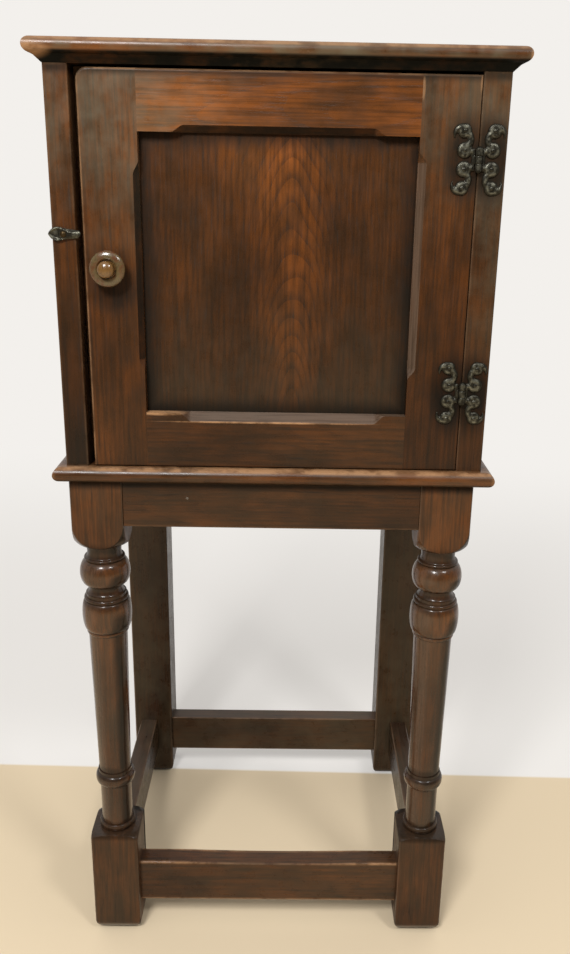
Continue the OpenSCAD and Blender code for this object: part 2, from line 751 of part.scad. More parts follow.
// The cock's head and neck above the middle of a leaf
module cock_half() {
    disc(body_lobe);
    difference() {
        disc(neck_ring);
        disc(neck_hole);
        translate([neck_ring[0], neck_ring[1] - leaf_room]) square(2 * leaf_room);
    }
    disc(head_disc);
    difference() {
        disc(beak_disc);
        disc(beak_cut);
    }
    difference() {
        disc(comb_disc);
        disc(comb_cut);
    }
}

// The whole outline of a leaf, from just outside the knuckles
module leaf_outline() intersection() {
    union() {
        square([body_lobe[0], 2 * root_h], center = true);
        for (m = [0, 1]) mirror([0, m]) cock_half();
    }
    translate([barrel_r + lift, -leaf_room]) square([leaf_room, 2 * leaf_room]);
}

// Middle of each of the three knuckles, counted from the lowest
function knuckle_z(i) = (i - 1) * (knuckle_h + knuckle_gap);

// A leaf with the knuckles that belong to it
module leaf(knuckles) difference() {
    union() {
        facing() linear_extrude(leaf_t) leaf_outline();
        for (i = knuckles) translate([0, 0, knuckle_z(i) - knuckle_h / 2]) {
            translate([0, axis_y, 0]) cylinder(r = barrel_r, h = knuckle_h);
            translate([0, -leaf_t, 0]) cube([barrel_r + lift + past, leaf_t - lift, knuckle_h]);
        }
    }
    translate([0, axis_y, -barrel_h]) cylinder(r = pin_r + running_gap, h = 2 * barrel_h);
    nail_places() nail_hole();
}

// Where a leaf is nailed: through each lobe and through the cock's eye
module nail_places() for (d = [body_lobe, head_disc], m = [-1, 1])
    translate([d[0], 0, m * d[1]]) facing() children();

module nail_hole() translate([0, 0, -nail_l - fit_gap]) cylinder(r = nail_r + fit_gap, h = nail_l + 2 * leaf_t);

module nail() {
    translate([0, 0, -nail_l]) cylinder(r = nail_r, h = nail_l + leaf_t + fit_gap + past / 2);
    translate([0, 0, leaf_t + fit_gap]) dome(nail_head_r, nail_head_r / 2);
}

module hinge_pin() translate([0, axis_y, 0]) {
    cylinder(r = pin_r, h = barrel_h + past, center = true);
    for (m = [0, 1]) mirror([0, 0, m]) translate([0, 0, barrel_h / 2 + fit_gap])
        dome(barrel_r - 2 * lift, pin_dome_h);
}

module hinge_case_upper() color(IRON) place() at_hinge(hinge_zs[0]) leaf([0, 2]);
module hinge_case_lower() color(IRON) place() at_hinge(hinge_zs[1]) leaf([0, 2]);
module hinge_door_upper() color(IRON) place() at_hinge(hinge_zs[0], true) leaf([1]);
module hinge_door_lower() color(IRON) place() at_hinge(hinge_zs[1], true) leaf([1]);
module hinge_pins() color(IRON) place() for (z = hinge_zs) at_hinge(z) hinge_pin();
module hinge_nails_case() color(IRON) place() for (z = hinge_zs) at_hinge(z) nail_places() nail();
module hinge_nails_door() color(IRON) place() for (z = hinge_zs) at_hinge(z, true) nail_places() nail();

// ---- Turn catch ----

// A leaf shape between two arcs, its long axis on X, with its right tip at the origin
module leaf_shape(l, w) {
    r = (l * l / 4 + w * w / 4) / w;
    intersection_for (m = [-1, 1]) translate([-l / 2, m * (r - w / 2)]) circle(r);
}

module turn_catch() color(IRON) place() translate([catch_x, -lift, catch_z]) facing() difference() {
    union() {
        cylinder(r = hub_r, h = catch_t);
        linear_extrude(catch_t) {
            translate([thumb_past, 0]) leaf_shape(thumb_l + thumb_past, thumb_w);
            polygon([[0, -tongue_root], [tongue_l - tongue_r, -tongue_r],
                [tongue_l - tongue_r, tongue_r], [0, tongue_root]]);
            translate([tongue_l - tongue_r, 0]) circle(tongue_r);
        }
    }
    translate([0, 0, -past]) cylinder(r = pivot_r + running_gap, h = catch_t + 2 * past);
}

module catch_pin() color(IRON) place() translate([catch_x, 0, catch_z]) facing() {
    translate([0, 0, -pivot_l]) cylinder(r = pivot_r, h = pivot_l + catch_t + 2 * lift);
    translate([0, 0, catch_t + 1.5 * lift]) dome(pivot_head_r, pivot_head_r / 2);
}

front_leg_left();
front_leg_right();
rear_leg_left();
rear_leg_right();
front_rail();
rear_rail();
left_rail();
right_rail();
front_stretcher();
rear_stretcher();
left_stretcher();
right_stretcher();
waist_board();
left_side();
right_side();
back_board();
top_board();
door_stop();
door_stile_left();
door_stile_right();
door_rail_top();
door_rail_bottom();
door_panel();
knob();
hinge_case_upper();
hinge_case_lower();
hinge_door_upper();
hinge_door_lower();
hinge_pins();
hinge_nails_case();
hinge_nails_door();
turn_catch();
catch_pin();
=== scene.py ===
"""Dresses the bedside pot cupboard: waxed oak, turned legs and knob, forged ironwork, and the stage."""

import math
from dataclasses import dataclass

import bmesh
import bpy
from bpy.props import FloatProperty, FloatVectorProperty, IntProperty, PointerProperty
from mathutils import Euler, Matrix, Vector, noise
from mathutils.bvhtree import BVHTree


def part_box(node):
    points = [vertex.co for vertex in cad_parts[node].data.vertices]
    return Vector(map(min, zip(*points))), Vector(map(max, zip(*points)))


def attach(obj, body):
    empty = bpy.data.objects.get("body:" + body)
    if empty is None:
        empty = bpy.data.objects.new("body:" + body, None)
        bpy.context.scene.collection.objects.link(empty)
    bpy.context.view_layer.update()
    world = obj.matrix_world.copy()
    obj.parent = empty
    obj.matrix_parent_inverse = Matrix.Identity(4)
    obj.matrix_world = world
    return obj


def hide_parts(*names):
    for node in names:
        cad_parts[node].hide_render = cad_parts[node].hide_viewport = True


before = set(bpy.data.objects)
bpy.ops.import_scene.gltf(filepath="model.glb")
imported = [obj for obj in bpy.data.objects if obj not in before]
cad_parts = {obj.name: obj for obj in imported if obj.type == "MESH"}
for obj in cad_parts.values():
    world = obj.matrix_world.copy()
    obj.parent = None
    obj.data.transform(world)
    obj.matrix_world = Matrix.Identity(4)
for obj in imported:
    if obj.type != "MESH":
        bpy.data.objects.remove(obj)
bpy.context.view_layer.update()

bl_info = {
    "name": "Bedside Pot Cupboard",
    "version": (1, 0, 0),
    "blender": (4, 5, 0),
    "location": "3D View > Sidebar > Cupboard",
    "description": "Finishes an oak pot cupboard on turned legs, with forged hinges and a turn catch",
    "category": "Object",
}

MM = 0.001
# The front face of the case, which the camera and the door's ironwork are placed from
FACE_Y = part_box("left_side")[0].y
# Undersides of the two boards that overhang what is below them
LEDGES = (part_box("waist_board")[0].z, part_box("top_board")[0].z)

# Nodes that most of the finishes use. A row of inputs is in the order in which the node shows them, so a
# Map Range takes the value, From Min, From Max, To Min and To Max, and a Mix takes the factor, A and B.
MATH, VECTOR, RANGE, MIX = "ShaderNodeMath", "ShaderNodeVectorMath", "ShaderNodeMapRange", "ShaderNodeMix"
NOISE, SPLIT, JOIN = "ShaderNodeTexNoise", "ShaderNodeSeparateXYZ", "ShaderNodeCombineXYZ"
SMOOTH = {"interpolation_type": "SMOOTHSTEP"}
COLOUR = {"data_type": "RGBA"}


def linear(hex_colour):
    """Turns an sRGB hex colour into the linear colour that shaders work in."""
    parts = [int(hex_colour[i:i + 2], 16) / 255 for i in (1, 3, 5)]
    return tuple(c / 12.92 if c <= 0.04045 else ((c + 0.055) / 1.055) ** 2.4 for c in parts) + (1.0,)


def add(tree, kind, inputs=(), **settings):
    """Adds a node with its settings and links. Its inputs come by name, or as a row in the order shown.

    A node given as an input stands for the first output that it shows.
    """
    node = tree.nodes.new(kind)
    place = len(tree.nodes)
    node.location = (190 * (place % 14), -260 * (place // 14))
    for name, value in settings.items():
        setattr(node, name, value)
    shown = [socket for socket in node.inputs if socket.enabled]
    for key, value in (inputs if isinstance(inputs, dict) else dict(enumerate(inputs))).items():
        socket = node.inputs[key] if isinstance(key, str) else shown[key]
        if isinstance(value, bpy.types.Node):
            value = next(output for output in value.outputs if output.enabled)
        if isinstance(value, bpy.types.NodeSocket):
            tree.links.new(value, socket)
        else:
            socket.default_value = value
    return node


def new_group(name, kind, inputs, outputs):
    """A node group with its sockets, listed by their type, and what its input node gives."""
    tree = bpy.data.node_groups.new(name, kind)
    for way, sockets in (("INPUT", inputs), ("OUTPUT", outputs)):
        for sort, names in sockets.items():
            for socket in names:
                tree.interface.new_socket(socket, in_out=way, socket_type="NodeSocket" + sort)
    return tree, add(tree, "NodeGroupInput").outputs


def colour_prop(name, description, hex_colour):
    return FloatVectorProperty(
        name=name, description=description, subtype="COLOR", size=4, min=0, max=1, default=linear(hex_colour))


def length_prop(name, description, millimetres):
    return FloatProperty(name=name, description=description, default=millimetres * MM, unit="LENGTH")


def power_prop(name, description, watts):
    return FloatProperty(name=name, description=description, default=watts, unit="POWER")


# ---- Sizes and colours that a user would change ----


class OakFinish(bpy.types.PropertyGroup):
    """Stain, wax and grain of the oak"""

    dark: colour_prop("Dark Grain", "Stain that has settled in the open grain", "#17120b")
    mid: colour_prop("Stain", "The stained wood between the grain", "#3f2812")
    warm: colour_prop("Warm Patches", "Where the stain has worn thin and the oak glows through", "#8a4d1c")
    # Also paints highlight lines along some arrises
    worn: colour_prop("Rubbed Edges", "Wood along the edges that hands and feet have rubbed", "#a37b57")
    # Also paints a pale sheen
    bloom_and_sheen: colour_prop("Wax Bloom", "Greyish film of old wax and dust", "#5f5a47")
    # Also paints light on slants that look up or to the left
    dust: colour_prop("Dust", "Dust and worn polish on chamfers and ledges", "#604f41")
    ring_width: length_prop("Ring Width", "One year's growth", 3.4)
    pore_length: length_prop("Pore Length", "Length of the open pores along the grain", 22)


class IronFinish(bpy.types.PropertyGroup):
    """Forged ironwork of the hinges and the catch"""

    iron: colour_prop("Iron", "Dark bronzed iron", "#2c2a22")
    rubbed: colour_prop("Rubbed Iron", "Iron where the bronzing has rubbed off", "#868575")
    brass: colour_prop("Rivet", "Dull brass of the catch's rivet", "#4c3d25")
    edge_round: length_prop("Forged Edge", "Width over which a leaf's edge is rounded", 3.3)
    hammer: length_prop("Hammer Marks", "Depth of the hammer marks", 0.16)
    nail_round: length_prop("Nail Head", "Radius of a nail's head", 1.65)


class Turnery(bpy.types.PropertyGroup):
    """Lathe work of the front legs and the knob"""

    segments: IntProperty(name="Segments", description="Steps round a turned leg", default=200, min=32)
    wobble: length_prop("Wobble", "How far a hand-turned surface strays", 0.25)
    pale: colour_prop("Handled Wood", "Knob wood that hands have rubbed pale", "#5a4b2e")
    button: colour_prop("Knob Button", "Warm wood of the knob's button", "#6e4e24")


class Stage(bpy.types.PropertyGroup):
    """Floor, light and camera"""

    floor: colour_prop("Floor", "Pale floor", "#e6d3b4")
    background: colour_prop("Background", "Pale background", "#f3f0ec")
    key: power_prop("Main Light", "Power of the light above the camera", 26)
    fill: power_prop("Second Light", "Power of the light on the right", 9)


# ---- Oak ----


def board_edges_group():
    """Masks of a board's long edges, of the border of its face and of its two ends."""
    tree, given = new_group(
        "Board edges", "ShaderNodeTree", {"Vector": ("Place", "Half"), "Float": ("Wear Width", "Grime Width")},
        {"Float": ("Worn", "Border", "Ends")})
    far = add(tree, VECTOR, [given["Place"]], operation="ABSOLUTE")
    x, y, z = add(tree, SPLIT, [add(tree, VECTOR, [given["Half"], far], operation="SUBTRACT")]).outputs
    # An edge is where the point is near two faces at once, so it takes the middle one of the three distances
    low = add(tree, MATH, [x, y], operation="MINIMUM")
    high = add(tree, MATH, [x, y], operation="MAXIMUM")
    middle = add(tree, MATH, [high, z], operation="MINIMUM")
    second = add(tree, MATH, [low, middle], operation="MAXIMUM")
    across = add(tree, MATH, [x, z], operation="MINIMUM")
    masks = {"Worn": (second, given["Wear Width"], 0.0), "Border": (across, given["Grime Width"], 0.0),
             "Ends": (z, 0.9, 0.25)}
    add(tree, "NodeGroupOutput", {name: add(tree, RANGE, row, **SMOOTH) for name, row in masks.items()})


def oak_group():
    """Flat-sawn oak, stained and waxed. Place is in millimetres: X across the face, Y into it, Z the grain."""
    inputs = {"Vector": ("Place", "Heart"),
              "Color": ("Dark", "Mid", "Warm", "Bloom Colour", "Dust Colour", "Worn Colour"),
              "Float": ("Seed", "Tilt", "Ring Width", "Pore Length", "Warmth", "Figure", "Tone", "Bloom",
                        "Bloom From", "Bloom To", "Dust", "Grime", "Worn")}
    tree, given = new_group(
        "Stained oak", "ShaderNodeTree", inputs, {"Color": ("Color",), "Float": ("Roughness", "Height")})
    # Each board is cut from a place of its own in the wood
    apart = add(tree, VECTOR, [(317, 131, 911), given["Seed"]], operation="SCALE")
    here = add(tree, VECTOR, [given["Place"], apart], operation="ADD")
    # Each unevenness: its width across the grain and length along it in millimetres, detail and roughness
    fields = {}
    for name, wide, long, detail, rough in (
            ("sway", 75, 210, 2, 0.5), ("fibre", 2.4, 60, 3, 0.6), ("patch", 24, 52, 4, 0.6),
            ("cloud", 90, 170, 2, 0.5), ("smudge", 14, 17, 3, 0.6)):
        scaled = add(tree, VECTOR, [here, (1 / wide, 1 / wide, 1 / long)], operation="MULTIPLY")
        fields[name] = add(tree, NOISE, {"Vector": scaled, "Scale": 1, "Detail": detail, "Roughness": rough})
    fibre, patch, cloud, smudge = (fields[name] for name in ("fibre", "patch", "cloud", "smudge"))

    # Year rings: the distance from the log's heart, which leans, through wood that grew unevenly
    log = fields["sway"].outputs["Color"]
    for operation, value in (("SUBTRACT", (0.5, 0.5, 0.5)), ("MULTIPLY", (26, 26, 0)), ("ADD", given["Place"]),
                             ("ADD", given["Heart"])):
        log = add(tree, VECTOR, [log, value], operation=operation)
    x, y, z = add(tree, SPLIT, [log]).outputs
    lean = add(tree, MATH, [z, given["Tilt"], y], operation="MULTIPLY_ADD")
    radius = add(tree, VECTOR, [add(tree, JOIN, [x, lean])], operation="LENGTH")
    ring = add(tree, MATH, [radius, given["Ring Width"]], operation="DIVIDE")
    ring = add(tree, MATH, [ring], operation="FRACT")
    early = add(tree, RANGE, [ring, 0, 0.55, 1, 0], **SMOOTH)
    aside = add(tree, MATH, [x], operation="ABSOLUTE")

    # Open pores in the early wood: real ones are 0.3 mm wide, drawn 0.7 mm wide so that they show
    along_pore = add(tree, MATH, [1, given["Pore Length"]], operation="DIVIDE")
    pore_place = add(tree, VECTOR, [here, add(tree, JOIN, [1.4, 1.4, along_pore])], operation="MULTIPLY")
    pores = add(tree, NOISE, {"Vector": pore_place, "Scale": 1, "Detail": 3, "Roughness": 0.62})
    pores = add(tree, RANGE, [pores, 0.5, 0.64], **SMOOTH)
    pores = add(tree, MATH, [pores, add(tree, RANGE, [early, 0, 1, 0.25, 1], **SMOOTH)], operation="MULTIPLY")

    # Stain with warm patches. Where the rings lie flat, over the log's heart, the wood takes less of it
    flat = add(tree, RANGE, [aside, 48, 4, 0.5, 1.25], **SMOOTH)
    warmth = given["Warmth"]
    for factor in (add(tree, RANGE, [patch, 0.27, 0.76, 0.16, 0.8], **SMOOTH),
                   add(tree, MIX, [given["Figure"], 1, flat], data_type="FLOAT"),
                   add(tree, RANGE, [fibre, 0.3, 0.62, 0.55, 1.05], **SMOOTH)):
        warmth = add(tree, MATH, [warmth, factor], operation="MULTIPLY")
    stain = add(tree, MIX, [warmth, given["Mid"], given["Warm"]], **COLOUR)

    # Dark lines over the stain: early wood, pores and fibres
    figured = add(tree, RANGE, [aside, 44, 4, 0, 0.16], **SMOOTH)
    drawn = add(tree, MATH, [given["Figure"], figured, 0.12], operation="MULTIPLY_ADD")
    drawn = add(tree, MATH, [early, drawn], operation="MULTIPLY")
    drawn = add(tree, MATH, [pores, 0.28, drawn], operation="MULTIPLY_ADD")
    drawn = add(tree, MATH, [drawn, add(tree, RANGE, [fibre, 0.62, 0.36, 0, 0.2], **SMOOTH)], operation="ADD")
    grain = add(tree, MIX, [drawn, stain, given["Dark"]], **COLOUR)
    tone = add(tree, RANGE, [cloud, 0.3, 0.7, 0.72, 1.22], **SMOOTH)
    tone = add(tree, MATH, [tone, given["Tone"]], operation="MULTIPLY")
    colour = add(tree, VECTOR, [grain, tone], operation="SCALE")

    # Old wax turns grey in clouds, more towards one end of a board; the grey also paints a pale sheen
    wax_film_and_sheen = add(tree, MATH, [cloud, 0.6], operation="MULTIPLY")
    wax_film_and_sheen = add(tree, MATH, [smudge, 0.4, wax_film_and_sheen], operation="MULTIPLY_ADD")
    wax_film_and_sheen = add(tree, RANGE, [wax_film_and_sheen, 0.32, 0.68], **SMOOTH)
    along = add(tree, SPLIT, [given["Place"]]).outputs[2]
    here_only = add(tree, RANGE, [along, given["Bloom From"], given["Bloom To"]], **SMOOTH)
    wax_film_and_sheen = add(tree, MATH, [wax_film_and_sheen, here_only], operation="MULTIPLY")
    wax_film_and_sheen = add(tree, MATH, [wax_film_and_sheen, given["Bloom"]], operation="MULTIPLY")
    # Dust with painted light follows the fibres, and dirt with painted shade and rubbing with painted
    # highlights are patchy
    patchy = {"Dust": (fibre, 0.3, 0.62, 0.45, 1), "Grime": (smudge, 0.3, 0.6, 0.75, 1),
              "Worn": (smudge, 0.34, 0.6, 0.25, 1)}
    dust, dirt_and_shade, rub = (add(tree, MATH, [given[name], add(tree, RANGE, row, **SMOOTH)], operation="MULTIPLY")
                       for name, row in patchy.items())
    # The near-black colour is grime, and also painted shade under ledges and on faces that look down
    for strength, over in ((wax_film_and_sheen, given["Bloom Colour"]), (dust, given["Dust Colour"]),
                           (dirt_and_shade, linear("#12120f")), (rub, given["Worn Colour"])):
        colour = add(tree, MIX, [strength, colour, over], **COLOUR)

    rough = add(tree, RANGE, [smudge, 0.3, 0.7, 0.24, 0.34], **SMOOTH)
    for dull, most in ((pores, 0.2), (wax_film_and_sheen, 0.15), (add(tree, MATH, [dirt_and_shade, dust], operation="MAXIMUM"), 0.25)):
        rough = add(tree, MATH, [dull, most, rough], operation="MULTIPLY_ADD")
    height = add(tree, MATH, [fibre, 0.35], operation="MULTIPLY")
    height = add(tree, MATH, [pores, -0.4, height], operation="MULTIPLY_ADD")
    add(tree, "NodeGroupOutput", {"Color": colour, "Roughness": rough, "Height": height})


# Turn that lays a board's grain, drawn along Z, in its own direction
GRAIN_TURN = {"Z": (0, 0, 0), "X": (0, math.radians(90), 0), "Y": (math.radians(90), 0, 0)}


@dataclass
class Board:
    """One piece of oak and how it has aged. Places and widths are in millimetres."""

    node: str
    grain: str
    # Where the log's heart lay from the board's middle, across its face and into it
    heart: tuple
    # How light it is, how warm its patches are, and how grey its wax has turned, a grey that also paints a pale
    # sheen
    tone: float
    warmth: float
    bloom_and_sheen: float
    # Where along the grain the bloom and its painted sheen begin and where they are full
    bloom_ends: tuple = (-2000, -1999)
    # How far the log's heart leans along the grain
    tilt: float = 0.04
    # Rubbed edges, a darker band along the face's border, and grime across its ends
    wear: float = 0.5
    wear_width: float = 2.2
    border: float = 0.0
    seam: float = 0.0
    # Dust, with painted light, on what looks up or to the left, and painted shade on what looks down
    dust: float = 0.3
    shade_below: float = 0.85
    # Painted light and shade: how light its low end and its high end are, and its left and its right
    fade: tuple = (1.0, 1.0)
    cross: tuple = (1.0, 1.0)
    # How much of the year rings' figure shows in the middle of its face
    figure: float = 0.0
    # Sheen from the lathe, which only a turned piece has
    gloss: float = 0.0
    # Marks: what they are, X and Z of the middle, half the width and height, and how strong
    marks: tuple = ()
    # How far behind the board's front the marks fade out
    deep: float = 14.0


def own_place(tree, spot, low, high, grain):
    """Places in millimetres from the middle of a box, with Z along the grain, and half the box's size."""
    turn = Euler(GRAIN_TURN[grain])
    middle = turn.to_matrix() @ ((low + high) / 2 / MM)
    half = turn.to_matrix() @ ((high - low) / 2 / MM)
    mapping = add(tree, "ShaderNodeMapping", {
        "Vector": spot, "Location": -middle, "Rotation": tuple(turn), "Scale": (1 / MM,) * 3})
    return mapping, Vector(abs(c) for c in half)


def new_material(name):
    """A material with an empty tree, the tree, and the coordinates in it."""
    material = bpy.data.materials.new(name)
    material.use_nodes = True
    tree = material.node_tree
    tree.nodes.clear()
    return material, tree, add(tree, "ShaderNodeTexCoord").outputs


def surfaced(material, strength, depth, height, look):
    """Ends a material in its shader, with bumps of a strength, a depth in millimetres and a height."""
    tree = material.node_tree
    bump = add(tree, "ShaderNodeBump", {"Strength": strength, "Distance": depth * MM, "Height": height})
    shader = add(tree, "ShaderNodeBsdfPrincipled", {"Normal": bump, **look})
    add(tree, "ShaderNodeOutputMaterial", [shader])
    return material


def dust_light_and_shade(tree, normal, board):
    """Dust and painted light on slants and ledges that look up or to the left, and painted shade on what looks
    down.
    """
    nx, ny, nz = add(tree, SPLIT, [normal]).outputs
    slant = add(tree, MATH, [nx, add(tree, MATH, [ny], operation="ABSOLUTE")], operation="MULTIPLY")
    steep = add(tree, MATH, [-1.4, add(tree, MATH, [nz], operation="ABSOLUTE"), 1.4], operation="MULTIPLY_ADD")
    slant = add(tree, MATH, [slant, steep], operation="MULTIPLY")
    lit = add(tree, MATH, [nz, slant], operation="SUBTRACT")
    dust = add(tree, RANGE, [lit, 0.25, 0.58, 0, board.dust])
    return dust, add(tree, RANGE, [lit, -0.45, -0.7, 0, board.shade_below])


def edge_masks(tree, board, place, half):
    """How much a square piece is rubbed along its edges, how much darker along its border, and how dirty across
    its ends.
    """
    edges = add(tree, "ShaderNodeGroup", {
        "Place": place, "Half": half, "Wear Width": board.wear_width, "Grime Width": 16},
        node_tree=bpy.data.node_groups["Board edges"])
    worn, border, seam = (
        add(tree, MATH, [edges.outputs[mask], most], operation="MULTIPLY")
        for mask, most in (("Worn", board.wear), ("Border", board.border), ("Ends", board.seam)))
    return {"worn": worn, "grime_and_shade": add(tree, MATH, [border, seam], operation="MAXIMUM")}


def crest_masks(tree):
    """How much a turned piece is rubbed on its crests, and how dirty in its grooves."""
    crest = add(tree, "ShaderNodeAttribute", attribute_name="crest").outputs["Fac"]
    worn = add(tree, RANGE, [crest, 0.6, 1, 0, 0.22])
    return {"worn": worn, "grime_and_shade": add(tree, RANGE, [crest, -0.15, -0.7, 0, 0.9])}


def waxed_oak(board, seed, finish, name, low, high, worn_box=None):
    """Waxed oak: brown stain gone warm in patches, dark open grain, and a soft sheen from years of polish, with
    painted light and shade over it.
    """
    material, tree, coordinates = new_material(name)
    spot = coordinates["Object"]
    place, half = own_place(tree, spot, low, high, board.grain)
    dust, shade_below = dust_light_and_shade(tree, coordinates["Normal"], board)
    if board.gloss:
        masks = crest_masks(tree)
    elif worn_box:
        masks = edge_masks(tree, board, *own_place(tree, spot, *worn_box, board.grain))
    else:
        masks = edge_masks(tree, board, place, half)
    # Faces that look down get painted shade
    masks["grime_and_shade"] = add(tree, MATH, [masks["grime_and_shade"], shade_below], operation="MAXIMUM")
    height = add(tree, SPLIT, [spot]).outputs[2]
    # Painted shadow under an overhanging board: a dark band below its ledge
    for ledge in LEDGES:
        if 0 <= ledge - high.z < 3 * MM:
            shade = add(tree, RANGE, [height, ledge - 9 * MM, ledge - 3 * MM, 0, 0.75], **SMOOTH)
            masks["grime_and_shade"] = add(tree, MATH, [masks["grime_and_shade"], shade], operation="MAXIMUM")
    # Marks lie at the front of a piece and fade out behind it
    for kind, x, z, wide, tall, most in board.marks:
        away = add(tree, VECTOR, [spot, (x * MM, low.y, z * MM)], operation="SUBTRACT")
        reach = tuple(1 / (size * MM) for size in (wide, board.deep, tall))
        near = add(tree, VECTOR, [add(tree, VECTOR, [away, reach], operation="MULTIPLY")], operation="LENGTH")
        mark = add(tree, RANGE, [near, 1, 0.4, 0, most], **SMOOTH)
        masks[kind] = add(tree, MATH, [masks[kind], mark], operation="MAXIMUM")
    # Painted light and shade along the grain and across the face, over the board's own tone
    across, _, along = add(tree, SPLIT, [place]).outputs
    tone = add(tree, RANGE, [along, -half.z, half.z, *(board.tone * share for share in board.fade)])
    aside = add(tree, RANGE, [across, -half.x, half.x, *board.cross])
    tone = add(tree, MATH, [tone, aside], operation="MULTIPLY")
    oak = add(tree, "ShaderNodeGroup", {
        "Place": place, "Seed": seed, "Heart": (*board.heart, 0), "Tilt": board.tilt,
        "Ring Width": finish.ring_width / MM, "Pore Length": finish.pore_length / MM,
        "Dark": finish.dark, "Mid": finish.mid, "Warm": finish.warm, "Warmth": board.warmth,
        "Figure": board.figure, "Tone": tone, "Bloom": board.bloom_and_sheen, "Bloom From": board.bloom_ends[0],
        "Bloom To": board.bloom_ends[1], "Bloom Colour": finish.bloom_and_sheen, "Worn": masks["worn"],
        "Worn Colour": finish.worn, "Grime": masks["grime_and_shade"], "Dust": dust, "Dust Colour": finish.dust},
        node_tree=bpy.data.node_groups["Stained oak"])
    rough, polish = oak.outputs["Roughness"], 0.06
    if board.gloss:
        # Turned parts were burnished on the lathe, and the square parts of the blank were not
        x, y, _ = add(tree, SPLIT, [add(tree, VECTOR, [place], operation="ABSOLUTE")]).outputs
        out = add(tree, MATH, [x, y], operation="MAXIMUM")
        gloss = add(tree, RANGE, [out, half.x - 0.1, half.x - 0.4, -0.14, board.gloss])
        rough = add(tree, MATH, [rough, gloss], operation="SUBTRACT")
        polish = add(tree, MATH, [gloss, 4], operation="MULTIPLY", use_clamp=True)
    return surfaced(material, 0.32, 0.25, oak.outputs["Height"], {
        "Base Color": oak.outputs["Color"], "Roughness": rough, "IOR": 1.5, "Coat Weight": polish,
        # Reflection is turned down where the grime and the painted shade lie
        "Specular IOR Level": add(tree, RANGE, [masks["grime_and_shade"], 0, 1, 0.32, 0.03]),
        "Coat Roughness": 0.2 - board.gloss})


def planed_oak(finish):
    """Unpolished oak inside and behind: planed, dusty and dull."""
    material, tree, coordinates = new_material("Planed oak, unpolished")
    here = coordinates["Object"]
    # Plane streaks 2.4 mm wide and 70 mm long, and dust in clouds 45 mm across
    long = add(tree, "ShaderNodeMapping", {"Vector": here, "Scale": (420, 420, 14)})
    streak = add(tree, NOISE, {"Vector": long, "Scale": 1, "Detail": 4})
    dust = add(tree, NOISE, {"Vector": here, "Scale": 22, "Detail": 3})
    wood = add(tree, MIX, [streak, linear("#3a2415"), linear("#7a5636")], **COLOUR)
    dusty = add(tree, MIX, [add(tree, RANGE, [dust, 0.45, 0.75, 0, 0.3]), wood, finish.bloom_and_sheen], **COLOUR)
    look = {"Base Color": dusty, "Roughness": 0.72, "Specular IOR Level": 0.3}
    return surfaced(material, 0.5, 0.3, streak, look)


def handled_oak(finish, lathe, centre):
    """Turned oak rubbed pale by hands: darker in the grooves, with faint rings left by the gouge."""
    material, tree, coordinates = new_material("Handled turned oak")
    here = add(tree, "ShaderNodeMapping", {
        "Vector": coordinates["Object"], "Location": -centre / MM, "Scale": (1 / MM,) * 3})
    x, _, z = add(tree, SPLIT, [here]).outputs
    out = add(tree, VECTOR, [add(tree, JOIN, [x, z])], operation="LENGTH")
    crest = add(tree, "ShaderNodeAttribute", attribute_name="crest").outputs["Fac"]
    # Rubbed patches 6 mm across, and streaks of the grain under 1 mm wide
    blotch = add(tree, NOISE, {"Vector": here, "Scale": 0.16, "Detail": 2})
    drawn_out = add(tree, "ShaderNodeMapping", {"Vector": here, "Scale": (1.1, 0.08, 0.5)})
    streaks = add(tree, NOISE, {"Vector": drawn_out, "Scale": 1, "Detail": 3})
    rings = add(tree, MATH, [add(tree, MATH, [out, 9], operation="MULTIPLY")], operation="SINE")
    # The rim's patches, then the button, the streaks and the grime in the grooves, each over the last
    colour = linear("#5a3217")
    for strength, over in ((add(tree, RANGE, [blotch, 0.36, 0.56]), lathe.pale),
                           (add(tree, RANGE, [out, 6.8, 6.3]), lathe.button),
                           (add(tree, RANGE, [streaks, 0.5, 0.66, 0, 0.5]), linear("#3b2416")),
                           (add(tree, RANGE, [crest, -0.2, -0.8, 0, 0.95]), finish.dark)):
        colour = add(tree, MIX, [strength, colour, over], **COLOUR)
    height = add(tree, MATH, [rings, streaks], operation="ADD")
    return surfaced(material, 0.15, 0.1, height, {
        "Base Color": colour, "Roughness": 0.24, "Coat Weight": 0.6, "Coat Roughness": 0.12})


# ---- Metal and putty ----


def bronzed_iron(finish, name, rubbing=1.0):
    """Hand-forged iron, bronzed nearly black: shallow hammer marks, and bare metal where it is rubbed, which on
    the catch's tongue is also a painted highlight.
    """
    material, tree, coordinates = new_material(name)
    here = coordinates["Object"]
    # Hammer marks about 3 mm across, and scale about 0.6 mm across
    marks = add(tree, NOISE, {"Vector": here, "Scale": 330, "Detail": 2})
    scale = add(tree, NOISE, {"Vector": here, "Scale": 1500, "Detail": 3})
    rub = add(tree, "ShaderNodeAttribute", attribute_name="rub").outputs["Fac"]
    bare = add(tree, MATH, [rub, add(tree, RANGE, [marks, 0.42, 0.62])], operation="MULTIPLY")
    bare = add(tree, MATH, [bare, rubbing * 0.6], operation="MULTIPLY", use_clamp=True)
    rust = add(tree, RANGE, [scale, 0.5, 0.7, 0, 0.5])
    dull = add(tree, MIX, [rust, finish.iron, linear("#201a13")], **COLOUR)
    height = add(tree, MATH, [marks, scale], operation="ADD")
    return surfaced(material, 0.5, 0.2, height, {
        "Base Color": add(tree, MIX, [bare, dull, finish.rubbed], **COLOUR), "Metallic": 0.7,
        "Roughness": add(tree, RANGE, [scale, 0.3, 0.7, 0.26, 0.46])})


